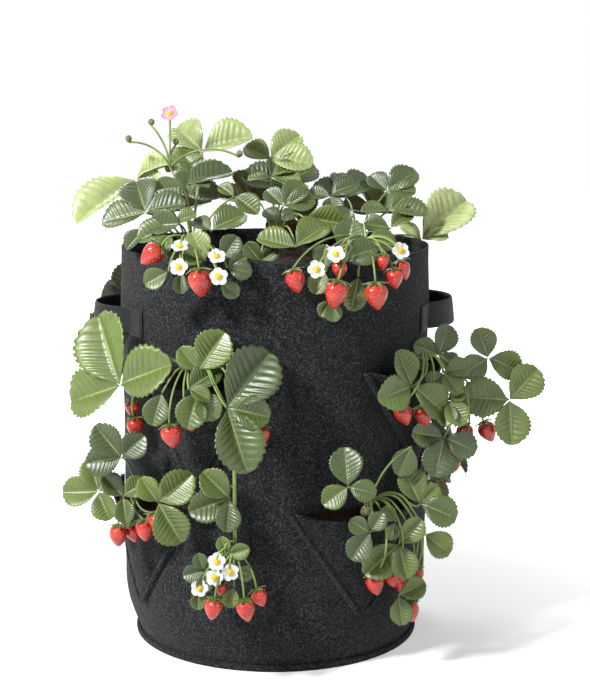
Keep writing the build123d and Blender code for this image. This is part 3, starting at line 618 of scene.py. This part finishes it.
def stitch(pile, middle, along, out, length, width):
    """A short thread that dives into the cloth at both ends."""
    beside = np.cross(along, out)
    steps = np.linspace(-1, 1, 6)
    rise = 0.6 * width * (1 - steps ** 4) - 0.15 * width
    reach = width / 2 * (1 - 0.4 * np.abs(steps) ** 3)
    turns = np.linspace(0, 2 * math.pi, 7)[:-1]
    points = (middle + steps[:, None, None] * along * length / 2
              + rise[:, None, None] * out
              + reach[:, None, None] * (np.cos(turns)[None, :, None] * beside
                                        + 0.7 * np.sin(turns)[None, :, None] * out))
    pile.grid(points, closed=True)


def flap_stitching():
    """The seam that holds each hem, along its inner edge."""
    pile = Pile()
    pitch, length, width = 0.0042, 0.0028, 0.0007
    for name, azimuth, mouth in pockets():
        count = int(pocket_height / pitch)
        shares = np.linspace(0.06, 0.97, count)
        height, edge, fold = flap_rows(shares, mouth)
        for way in (-1, 1):
            line = settle(around(azimuth + way * (edge - 0.42 * hem_angle), skin + hem_rise + 0.0004, height))
            for start, end in zip(line[:-1], line[1:]):
                middle = (start + end) / 2
                out = unit(np.array([middle[0], middle[1], 0.0]))
                stitch(pile, middle, unit(end - start), out, length, width)
    pile.build("flap_stitching", [thread_look], "bag", slot="thread")


def pocket_mix():
    """The mix in each pocket, heaped behind its lip."""
    pile = Pile()
    shares = np.linspace(0.30, pocket_fill, 14)
    for name, azimuth, mouth in pockets():
        height, edge, fold = flap_rows(shares, mouth)
        steps = np.linspace(-1, 1, 31)
        angle = azimuth + 0.8 * fold[:, None] * steps[None, :]
        lift = (pocket_bulge * shares[:, None]) * (1 - 0.68 * steps[None, :] ** 2) - 2 * seat
        face = around(angle, skin + lift, height[:, None] - lip_sag * 0.3 * shares[:, None] ** 3
                      * (1 - steps[None, :] ** 2))
        cap = []
        for share in (0.8, 0.5, 0.2, -0.1):
            ring = around(angle[-1], skin + share * lift[-1], face[-1][:, 2])
            ring[:, 2] += 0.004 * waves(ring, 90.0) + 0.002 * (1 - share)
            cap.append(ring[None])
        pile.grid(settle(np.concatenate([face, *cap])))
    pile.build("pocket_mix", [soil_look], "bag", "soil_pockets", slot="soil")


def potting_mix():
    """The mix in the bag, rough on top."""
    azimuths = np.arange(0, 360, 2.0)
    rings = np.concatenate([np.linspace(0.003, soil_edge - 0.001, 62), [soil_edge]])
    top = disc(rings, azimuths, soil_height)
    top[..., 2] += soil_crown * (1 - (rings[:, None] / soil_edge) ** 2)
    fade = np.clip((soil_edge - rings) / 0.01, 0, 1)[:, None]
    rough = waves(top, 45.0) * 0.0030 + waves(top, 120.0) * 0.0022 + waves(top, 300.0) * 0.0012
    top[..., 2] += fade * rough - 0.0005
    heights, radii = drum_profile(felt + seat)
    below = heights < soil_height - 0.01
    side = around(azimuths[None, :], radii[below][::-1][::6, None], heights[below][::-1][::6, None])
    floor = disc(np.array([0.12, 0.06, 0.003]), azimuths, felt + seat)
    pile = Pile()
    pile.grid(settle(np.concatenate([top, side, floor]))[:, ::-1], closed=True)
    pile.build("potting_mix", [soil_look], "bag", "soil_core", slot="soil")


# Handles

hinge_distance = math.sqrt(strap_skin ** 2 - strap_half_span ** 2)
loop_depth = bag_radius + strap_reach - hinge_distance
loop_radius = (strap_half_span ** 2 + loop_depth ** 2) / (2 * loop_depth)
loop_centre = bag_radius + strap_reach - loop_radius
loop_half_angle = math.atan2(strap_half_span, hinge_distance - loop_centre)
sewn_start = math.degrees(math.asin((strap_half_span + seat) / strap_skin))


def band_section():
    """A strap's outline: across its width (-1 to 1) and through its thickness (0 to 1)."""
    across = np.linspace(-1, 1, 15)
    edge = 1 - np.abs(across) ** 14
    outside = np.stack([across, 0.5 + 0.5 * edge], -1)
    inside = np.stack([across[::-1], 0.5 - 0.5 * edge[::-1]], -1)
    return np.concatenate([outside, inside[1:-1]])


def strap(side, azimuth):
    """The free loop of a handle, a little slack and twisted."""
    section = band_section()
    turns = np.linspace(-loop_half_angle, loop_half_angle, 49)
    share = turns / loop_half_angle
    slack = 0.0012 * np.sin(share * 2.6 + 0.7) * (1 - share ** 2)
    lean = 0.0016 * (1 - share ** 2)
    radius = (loop_radius - strap_thickness + strap_thickness * section[None, :, 1]
              + slack[:, None] - lean[:, None] * section[None, :, 0])
    out = loop_centre + radius * np.cos(turns)[:, None]
    along = radius * np.sin(turns)[:, None]
    z = strap_top - strap_width / 2 + strap_width / 2 * section[None, :, 0] + 0 * out
    ways = around(np.array([azimuth, azimuth + 90]), 1.0, 0.0)
    points = out[..., None] * ways[0] + along[..., None] * ways[1]
    points[..., 2] += z
    pile = Pile()
    pile.grid(points[:, ::-1], closed=True)
    pile.add(points[0], [list(range(len(section)))])
    pile.add(points[-1], [list(range(len(section)))[::-1]])
    pile.build(f"strap_{side}", [webbing_look], f"handle_{side}", f"handle_{side}", slot="webbing")


def strap_ends():
    """The sewn ends: each is folded under at its far edge, which stands a little prouder."""
    section = band_section()
    pile = Pile()
    for azimuth in handle_azimuths.values():
        for way in (-1, 1):
            share = np.linspace(0, 1, 25)
            angle = azimuth + way * (sewn_start + sewn_end_angle * share)
            puff = 0.75 + 0.25 * np.abs(np.sin(math.pi * 2.0 * share)) ** 0.5
            puff[share > 0.72] += 0.35 * np.sin(math.pi * (share[share > 0.72] - 0.72) / 0.28)
            radius = skin + strap_thickness * section[None, :, 1] * puff[:, None]
            z = strap_top - strap_width / 2 + strap_width / 2 * section[None, :, 0] + 0 * radius
            grid = settle(around(angle[:, None], radius, z))
            if way > 0:
                grid = grid[:, ::-1]
            pile.grid(grid, closed=True)
            last = list(range(len(section)))
            pile.add(grid[0], [last])
            pile.add(grid[-1], [last[::-1]])
    pile.build("strap_ends", [webbing_look], "bag", "handle_sewn_ends", slot="webbing")


def strap_stitches():
    pile = Pile()
    for points, triangles in loose_parts("handle_stitching"):
        middle, ways, sizes = principal(points)
        out = unit(np.array([middle[0], middle[1], 0.0]))
        stitch(pile, settle(middle[None])[0], np.array([0.0, 0.0, 1.0]), out, sizes[0], 0.0009)
    pile.build("strap_stitches", [thread_look], "bag", "handle_stitching", slot="thread")


# Leaves

def leaflet_grid(length, fold, lift):
    """A serrated, pleated leaflet: base at the origin, tip along +x, face up +z."""
    steps = np.linspace(0.012, 0.992, teeth * rows_in_tooth + 1)[:, None]
    across = np.linspace(-1, 1, blade_columns)[None, :]
    side = np.abs(across)
    half = leaf_half_share * length * random.uniform(0.96, 1.04)
    lag = steps - 0.20 * np.sin(math.pi * steps)
    wedge = np.clip(steps / 0.18, 0, 1) ** 0.35
    outline = half * np.sin(math.pi * steps ** 1.25) ** 0.6 * wedge
    phase = (steps * teeth) % 1.0
    bite = np.interp(phase, [0, 0.3, 0.6, 0.85, 1.0], [-1.0, 0.5, 1.0, 0.1, -1.0])
    depth = tooth_depth_share * length * np.clip(steps / 0.25, 0.15, 1)
    rim = outline + depth * bite * np.clip(outline / (0.3 * half), 0, 1)
    x = length * (lag * (1 - side) + steps * side) + 0.35 * depth * bite * side ** 3
    y = np.sign(across) * side ** 0.95 * (outline * (1 - side ** 3) + rim * side ** 3)
    curl = random.uniform(0.15, 0.40)
    z = np.abs(y) * math.sin(fold) * (1 - curl * side ** 2) + lift * np.clip(3 * steps, 0, 1)
    y = y * math.cos(fold)
    pleat = -np.cos(2 * math.pi * (phase - 0.5))
    z += pleat_share * length * pleat * np.sin(math.pi * side ** 0.9) * np.clip(outline / half, 0, 1)
    droop = random.uniform(0.0, 0.12)
    z -= droop * length * (steps ** 2 - 0.45 * steps)
    ripple = random.uniform(*any_turn)
    z += (ripple_share * length * side ** 2 * np.sin(7.5 * steps + ripple + np.sign(across))
          * np.clip(2 * steps, 0, 1))
    marks = np.stack([steps + 0 * x, across + 0 * x, 0 * x], -1)
    return np.stack([x, y, z + 0.0003], -1), marks


def leaflets(node):
    """The leaflets of a CAD node: base, way along, way up and length."""
    found = []
    for points, triangles in loose_parts(node):
        middle = points.mean(0)
        one = points[np.argmax(np.linalg.norm(points - middle, axis=1))]
        other = points[np.argmax(np.linalg.norm(points - one, axis=1))]
        ends = [points[np.linalg.norm(points - end, axis=1) < corner_reach].mean(0)
                for end in (one, other)]
        line = ends[1] - ends[0]
        along = (points - ends[0]) @ unit(line)
        off = np.linalg.norm(points - ends[0] - along[:, None] * unit(line), axis=1)
        # a leaflet is widest past its middle
        if (along * off).sum() / off.sum() < 0.5 * np.linalg.norm(line):
            ends.reverse()
        base, tip = ends
        x_way = unit(tip - base)
        rise = (middle - base) - ((middle - base) @ x_way) * x_way
        found.append((base, x_way, unit(rise), np.linalg.norm(tip - base)))
    return found


def leaf_tone_and_backlight(base):
    """How pale a leaf is: a random tone, with painted backlight that makes the outermost leaves and the
    highest ones at the left pale.
    """
    tint = random.gauss(0.24, 0.15)
    # painted backlight: the outer leaves and the highest ones at the left are given a pale tint
    if hangs_out_at_side(base):
        tint = 0.92
    elif base[2] > 0.54 and base[0] < 0:
        tint = 0.66
    return min(max(tint, 0.0), 1.0)


def hangs_out_at_side(base):
    """The long leaves that hang out of the bag's mouth at both sides."""
    return base[2] > 0.45 and (base[0] < -0.15 or base[0] > 0.155)


def fold_angle(base):
    return math.radians(random.uniform(44, 50) if hangs_out_at_side(base) else random.uniform(24, 38))


def foliage(name, node, body):
    pile = Pile()
    leaves = []
    for base, x_way, z_way, length in leaflets(node):
        leaf = next((found for found in leaves if np.linalg.norm(found[0] - base) < same_joint), None)
        if leaf is None:
            leaf = [base, fold_angle(base), leaf_tone_and_backlight(base), 0]
            leaves.append(leaf)
        grid, marks = leaflet_grid(length, leaf[1], leaflet_lift * leaf[3])
        leaf[3] += 1
        marks[..., 2] = min(max(leaf[2] + random.uniform(-0.12, 0.12), 0.0), 1.0)
        y_way = np.cross(z_way, x_way)
        pile.grid(to_world(grid, base, x_way, y_way, z_way)[:, ::-1], marks=marks[:, ::-1])
    piece = pile.build(name, [leaf_look, leaf_under_look], body, node, slot="leaf")
    solidify(piece, leaf_thickness, -1.0, 1)


# Berries, sepals and stalks

def is_disc(sizes):
    return sizes[2] < disc_thickness and sizes[1] > disc_width


def is_ball(sizes):
    return sizes[2] > 0.9 * sizes[0]


def stars(node):
    """The sepal stars of a stalk node: each one's middle, way up and radius."""
    found = []
    for points, triangles in loose_parts(node):
        middle, ways, sizes = principal(points)
        if is_disc(sizes):
            up = ways[2] * np.sign(ways[2][2])
            middle = points.mean(0)
            across = points - middle
            across -= (across @ up)[:, None] * up
            found.append((middle, up, np.linalg.norm(across, axis=1).max()))
    return found


def side_ways(up):
    """Two directions square to one."""
    other = np.array([1.0, 0, 0]) if abs(up[0]) < 0.8 else np.array([0, 1.0, 0])
    x_way = unit(np.cross(other, up))
    return x_way, np.cross(up, x_way)


def add_petal(pile, middle, up, angle, spot, slot, marks):
    """A sepal or petal that is laid out along x, turned about the way up and set in its place."""
    x, y, z = spot
    x_way, y_way = side_ways(up)
    c, s = math.cos(angle), math.sin(angle)
    grid = np.stack([x * c - y * s, x * s + y * c, z + 0 * x], -1)
    marks = np.stack([mark + 0 * x for mark in marks], -1)
    pile.grid(to_world(grid, middle, x_way, y_way, up)[:, ::-1], slot=slot, marks=marks[:, ::-1])


def sepal_star(pile, middle, up, radius, slot):
    """Two rings of pointed sepals that lie over a berry's shoulder, with upturned tips."""
    turn = random.uniform(*any_turn)
    steps = np.linspace(0, 1, 8)[:, None]
    across = np.linspace(-1, 1, 5)[None, :]
    for ring, count, reach, width in ((0, 6, 1.0, 0.21), (1, 6, 0.72, 0.12)):
        for index in range(count):
            angle = turn + 2 * math.pi * (index + 0.5 * ring) / count + random.uniform(-0.12, 0.12)
            size = radius * reach * random.uniform(0.9, 1.06)
            x = size * steps + 0 * across
            y = radius * width * across * np.sin(math.pi * np.clip(steps + 0.12, 0, 1)) ** 0.8
            fall = random.uniform(0.10, 0.32) * size
            z = (0.0006 - ring * 0.0005 - fall * steps ** 2.4 + 0.10 * size * np.clip(steps - 0.7, 0, 1)
                 + 0.06 * size * across ** 2)
            add_petal(pile, middle, up, angle, (x, y, z), slot, (steps, across, random.uniform(0.3, 0.6)))


def stems(name, node, body):
    """A plant's stalks, its crown and the sepals on its berries."""
    tubes, leaves = Pile(), Pile()
    for points, triangles in loose_parts(node):
        middle, ways, sizes = principal(points)
        if is_disc(sizes):
            continue
        if is_ball(sizes):
            crown(tubes, middle, sizes[0] / 2)
        else:
            tubes.add(points, triangles)
    for middle, up, radius in stars(node):
        sepal_star(leaves, middle, up, radius, 0)
    tubes.build(name, [stem_look, crown_look], body, node, slot="stalk")
    if leaves.count:
        piece = leaves.build(name.replace("stems", "sepals"), [leaf_look, leaf_under_look], body, slot="leaf")
        solidify(piece, 0.0003, 0.0, 1)


def crown(pile, middle, radius):
    """The short woody heart that a plant's stalks grow from, ringed with old scales."""
    turns = np.linspace(0, 2 * math.pi, 25)[:-1][None, :]
    heights = np.linspace(-1, 1, 18)[:, None]
    width = np.sqrt(np.clip(1 - heights ** 2, 0.003, 1))
    scale = 1 + 0.09 * np.sin(5 * turns + 9 * heights) * width
    grid = np.stack([radius * width * scale * np.cos(turns), radius * width * scale * np.sin(turns),
                     radius * heights + 0 * turns], -1)
    pile.grid(middle + grid, closed=True, slot=1)


def berry_outline(share):
    """A berry's half-width over its width, from shoulder (0) to tip (1)."""
    return np.interp(share, [0, 0.015, 0.06, 0.14, 0.25, 0.38, 0.52, 0.68, 0.82, 0.93, 0.985, 1.0],
                     [0.02, 0.20, 0.34, 0.44, 0.49, 0.495, 0.455, 0.365, 0.255, 0.140, 0.060, 0.004])


def berry_seeds(width):
    """Where the seeds sit: share down the berry and turn, in a spiral of even spacing."""
    count = int(seeds_on_berry * (width / usual_berry_width) ** 1.4)
    shares = np.linspace(0.05, 0.97, 200)
    room = np.cumsum(berry_outline(shares))
    spots = np.interp((np.arange(count) + 0.5) / count, room / room[-1], shares)
    return spots, np.arange(count) * golden_angle + random.uniform(*any_turn)


def berry(pile, middle, up, radius):
    width = radius / sepal_share
    height = berry_height_share * width
    x_way, y_way = side_ways(up)
    top = middle - up * 0.0005
    squash_way = random.uniform(*any_turn)
    flat = random.uniform(0.0, 0.07)
    grow = random.uniform(0.96, 1.03)

    def surface(share, turn):
        wide = width * grow * berry_outline(share)
        wide = wide * (1 - flat * np.cos(2 * (turn - squash_way)))
        down = height * share - 0.05 * height * np.exp(-(share / 0.03) ** 2)
        return np.stack([wide * np.cos(turn), wide * np.sin(turn), -down], -1)

    shares = np.concatenate([[0, 0.015, 0.035], np.linspace(0.06, 0.94, 38), [0.965, 0.985, 1.0]])
    turns = np.linspace(0, 2 * math.pi, 53)[:-1]
    share, turn = np.meshgrid(shares, turns, indexing="ij")
    grid = surface(share, turn)
    seed_shares, seed_turns = berry_seeds(width)
    seeds = surface(seed_shares, seed_turns)
    gap = np.linalg.norm(grid[:, :, None] - seeds[None, None], axis=-1).min(-1)
    spacing = 0.052 * width
    pit = np.exp(-(gap / spacing) ** 2)
    centre = np.array([0, 0, -0.45 * height])
    inward = centre - grid
    inward /= np.linalg.norm(inward, axis=-1, keepdims=True)
    grid = grid + inward * (0.022 * width * pit)[..., None]
    # the pit mark also paints shade into the seed pits
    marks = np.stack([pit, 0 * pit, 1 - share], -1)
    pile.grid(to_world(grid, top, x_way, y_way, up), closed=True, marks=marks)
    down_step = surface(np.minimum(seed_shares + 0.02, 0.99), seed_turns)
    for spot, below in zip(seeds, down_step):
        out = unit(spot - centre)
        along = unit(below - spot)
        beside = np.cross(out, along)
        spot = spot - out * 0.012 * width
        size = 0.030 * width
        tips = [spot - along * size, spot + along * size * 1.1, spot + beside * size * 0.6,
                spot - beside * size * 0.6, spot + out * size * 0.45, spot - out * size * 0.3]
        faces = [(0, 2, 4), (2, 1, 4), (1, 3, 4), (3, 0, 4), (2, 0, 5), (1, 2, 5), (3, 1, 5), (0, 3, 5)]
        pile.add(to_world(np.array(tips), top, x_way, y_way, up), faces, 1)


def fruit(name, node, stalk_nodes, body):
    pile = Pile()
    for stalk_node in stalk_nodes:
        for middle, up, radius in stars(stalk_node):
            berry(pile, middle, up, radius)
    pile.build(name, [berry_look, seed_look], body, node, slot="berry")


# Flowers

def petal_ring(pile, middle, up, radius, slot, count=5):
    """Round petals, narrow at the base, cupped and overlapping a little."""
    turn = random.uniform(*any_turn)
    steps = 0.5 - 0.5 * np.cos(np.linspace(0.12, math.pi - 0.1, 12))[:, None]
    across = np.linspace(-1, 1, 9)[None, :]
    widest = 0.56
    off = (steps - widest) / np.where(steps < widest, widest, 1 - widest)
    for index in range(count):
        angle = turn + 2 * math.pi * index / count
        start, size = 0.12 * radius, 0.92 * radius * random.uniform(0.96, 1.04)
        wide = 0.49 * radius * np.sqrt(1 - off ** 2)
        x = start + size * steps + 0 * across
        y = wide * across
        cup = random.uniform(0.10, 0.22)
        z = (cup * radius * (steps ** 1.5) + 0.10 * radius * across ** 2 * steps
             - 0.08 * radius * steps ** 4 + 0.03 * radius * np.sin(5 * across + index) * steps
             + 0.0002 * (index % 2))
        add_petal(pile, middle, up, angle, (x, y, z), slot, (steps, across, 0))


def small_ball(pile, middle, size, slot, up, tall, rings, turns):
    """A ball of few faces, stretched along its way up."""
    x_way, y_way = side_ways(up)
    polar = np.linspace(0.12, math.pi - 0.12, rings)[:, None]
    turn = np.linspace(0, 2 * math.pi, turns + 1)[:-1][None, :]
    grid = np.stack([np.sin(polar) * np.cos(turn), np.sin(polar) * np.sin(turn),
                     tall * np.cos(polar) + 0 * turn], -1) * size
    pile.grid(to_world(grid, middle, x_way, y_way, up)[::-1], closed=True, slot=slot)


def flower(pile, middle, up, radius, petal_slot):
    """Petals, a domed heart of pistils and a ring of stamens."""
    petal_ring(pile, middle, up, radius, petal_slot)
    x_way, y_way = side_ways(up)
    heart = middle + up * 0.12 * radius
    small_ball(pile, heart, heart_share * radius, 2, up, 0.75, 7, 14)
    for index in range(pistils):
        share = (index + 0.5) / pistils
        reach, turn = heart_share * radius * math.sqrt(share), index * golden_angle
        lift = 0.75 * math.sqrt(max(0.0, (heart_share * radius) ** 2 - reach ** 2))
        spot = heart + x_way * reach * math.cos(turn) + y_way * reach * math.sin(turn) + up * lift
        small_ball(pile, spot, 0.035 * radius, 2, up, 1.0, 4, 6)
    for index in range(stamens):
        turn = 2 * math.pi * index / stamens
        reach = radius * (0.34 + 0.04 * (index % 2))
        foot = heart + 0.55 * reach * (x_way * math.cos(turn) + y_way * math.sin(turn))
        tip = heart + reach * (x_way * math.cos(turn) + y_way * math.sin(turn)) + up * 0.10 * radius
        side = unit(np.cross(tip - foot, up)) * 0.012 * radius
        pile.add([foot - side, foot + side, tip + side, tip - side], [(0, 1, 2, 3)], 2)
        small_ball(pile, tip, 0.045 * radius, 2, up, 0.7, 4, 6)


def calyx(pile, middle, up, radius, slot):
    """The green leaves behind a flower's petals."""
    steps = np.linspace(0, 1, 6)[:, None]
    across = np.linspace(-1, 1, 5)[None, :]
    for index in range(10):
        angle = 2 * math.pi * index / 10
        size = radius * (0.62 if index % 2 else 0.78)
        x = size * steps + 0 * across
        y = 0.16 * radius * across * np.sin(math.pi * np.clip(steps + 0.15, 0, 1)) ** 0.8
        z = -0.0004 - 0.0002 * (index % 2) + 0.04 * size * steps ** 2
        add_petal(pile, middle, up, angle, (x, y, z), slot, (steps, across, 0.4))


def bud(pile, middle, radius):
    """A closed flower: a small dark ball held in upturned sepals."""
    up = np.array([0, 0, 1.0])
    small_ball(pile, middle, 0.78 * radius, 4, up, 1.15, 9, 14)
    steps = np.linspace(0, 1, 8)[:, None]
    across = np.linspace(-1, 1, 5)[None, :]
    for index in range(6):
        angle = 2 * math.pi * index / 6
        polar = math.pi * (1 - 0.72 * steps)
        wide = 0.52 * np.sin(math.pi * np.clip(0.9 * steps + 0.1, 0, 1)) ** 0.7
        azimuth = angle + across * wide
        reach = 0.92 * radius
        grid = np.stack([reach * np.sin(polar) * np.cos(azimuth), reach * np.sin(polar) * np.sin(azimuth),
                         1.15 * reach * np.cos(polar) + 0 * azimuth], -1)
        marks = np.stack([steps + 0 * azimuth, across + 0 * azimuth, 0.65 + 0 * azimuth], -1)
        pile.grid(middle + grid, slot=3, marks=marks)


def blossom(name, node, body, petal_slot=0):
    pile = Pile()
    parts = [(principal(points), points.mean(0)) for points, triangles in loose_parts(node)]
    eyes = [middle for (middle, ways, sizes), mean in parts if disc_thickness <= sizes[2] < eye_thickness]
    for (middle, ways, sizes), mean in parts:
        if is_disc(sizes):
            up = ways[2]
            eye = min(eyes, key=lambda spot: np.linalg.norm(spot - mean))
            up = up * np.sign((eye - mean) @ up)
            across = 0.5 * sizes[0]
            flower(pile, mean, up, across, petal_slot)
            calyx(pile, mean, up, across, 3)
        elif is_ball(sizes):
            bud(pile, middle, sizes[0] / 2)
    piece = pile.build(name, [petal_look, pink_look, eye_look, leaf_look, bud_look], body, node, slot="petal")
    solidify(piece, 0.0002, 0.0)


# Everything together

felt_wall()
felt_base()
welt()
back_seam()
for name, azimuth, mouth in pockets():
    flap(name, azimuth, mouth)
flap_stitching()
pocket_mix()
potting_mix()
for side, azimuth in handle_azimuths.items():
    strap(side, azimuth)
strap_ends()
strap_stitches()

for node in sorted(frame["nodes"]):
    if node.startswith("leaves_"):
        foliage(node.replace("leaves", "foliage"), node, "bag")
    elif node.startswith("stalks_"):
        stems(node.replace("stalks", "stems"), node, "bag")
    elif node.startswith("flowers_"):
        blossom(node.replace("flowers", "blossom"), node, "bag", 1 if node == "flowers_top" else 0)
    elif node == "berries_rear":
        rear = [n for n in sorted(frame["nodes"]) if n.startswith("stalks_") and "_rear_" in n]
        fruit("fruit_rear", node, rear, "bag")
    elif node.startswith("berries_"):
        fruit(node.replace("berries", "fruit"), node, [node.replace("berries", "stalks")], "bag")
foliage("runner_foliage", "runner_leaves", "runner")
stems("runner_stems", "runner_stem", "runner")
fruit("runner_fruit", "runner_berries", ["runner_stem"], "runner")
blossom("runner_blossom", "runner_flowers", "runner")


# Floor and light

def floor():
    paint = Paint("floor", Roughness=0.9, Specular_IOR_Level=0.1)
    paint.shader.inputs["Base Color"].default_value = (0.80, 0.80, 0.80, 1)
    rays = paint.node("LightPath").outputs
    seen = paint.math("MAXIMUM", rays["Is Camera Ray"], rays["Is Glossy Ray"])
    paint.shader.inputs["Emission Color"].default_value = (1, 1, 1, 1)
    reach = paint.node("VectorMath", {0: paint.place()}, operation="LENGTH").outputs["Value"]
    glow = paint.span(reach, 0.22, 0.9, 0.40, 1.0)
    paint.tree.links.new(paint.math("MULTIPLY", seen, glow), paint.shader.inputs["Emission Strength"])
    size = 6.0
    corners = [(-size, -size, 0), (size, -size, 0), (size, size, 0), (-size, size, 0)]
    mesh = bpy.data.meshes.new("floor")
    mesh.from_pydata(corners, [], [(0, 1, 2, 3)])
    mesh.materials.append(paint.material)
    piece = bpy.data.objects.new("floor", mesh)
    bpy.context.scene.collection.objects.link(piece)


def lamp(name, place, aim, size, power):
    light = bpy.data.lights.new(name, "AREA")
    light.shape = "DISK"
    light.size = size
    light.energy = power
    made = bpy.data.objects.new(name, light)
    made.location = place
    made.rotation_euler = (Vector(aim) - Vector(place)).to_track_quat("-Z", "Y").to_euler()
    bpy.context.scene.collection.objects.link(made)


def world():
    sky = bpy.data.worlds.new("studio")
    sky.use_nodes = True
    nodes, links = sky.node_tree.nodes, sky.node_tree.links
    shade = nodes["Background"]
    shade.inputs["Color"].default_value = (1, 1, 1, 1)
    rays = nodes.new("ShaderNodeLightPath")
    seen = nodes.new("ShaderNodeMath")
    seen.operation = "MAXIMUM"
    links.new(rays.outputs["Is Camera Ray"], seen.inputs[0])
    links.new(rays.outputs["Is Glossy Ray"], seen.inputs[1])
    level = nodes.new("ShaderNodeMapRange")
    level.inputs[3].default_value = 0.27
    level.inputs[4].default_value = 1.0
    links.new(seen.outputs[0], level.inputs[0])
    links.new(level.outputs[0], shade.inputs["Strength"])
    bpy.context.scene.world = sky


floor()
world()
lamp("key", (-1.7, -1.4, 2.1), (0, 0, 0.3), 0.5, 108)
lamp("fill", (1.9, -1.2, 1.3), (0, 0, 0.3), 1.4, 8)
lamp("back", (-0.6, 1.9, 1.7), (0, 0, 0.35), 1.2, 30)

bpy.context.scene.view_settings.view_transform = "Standard"
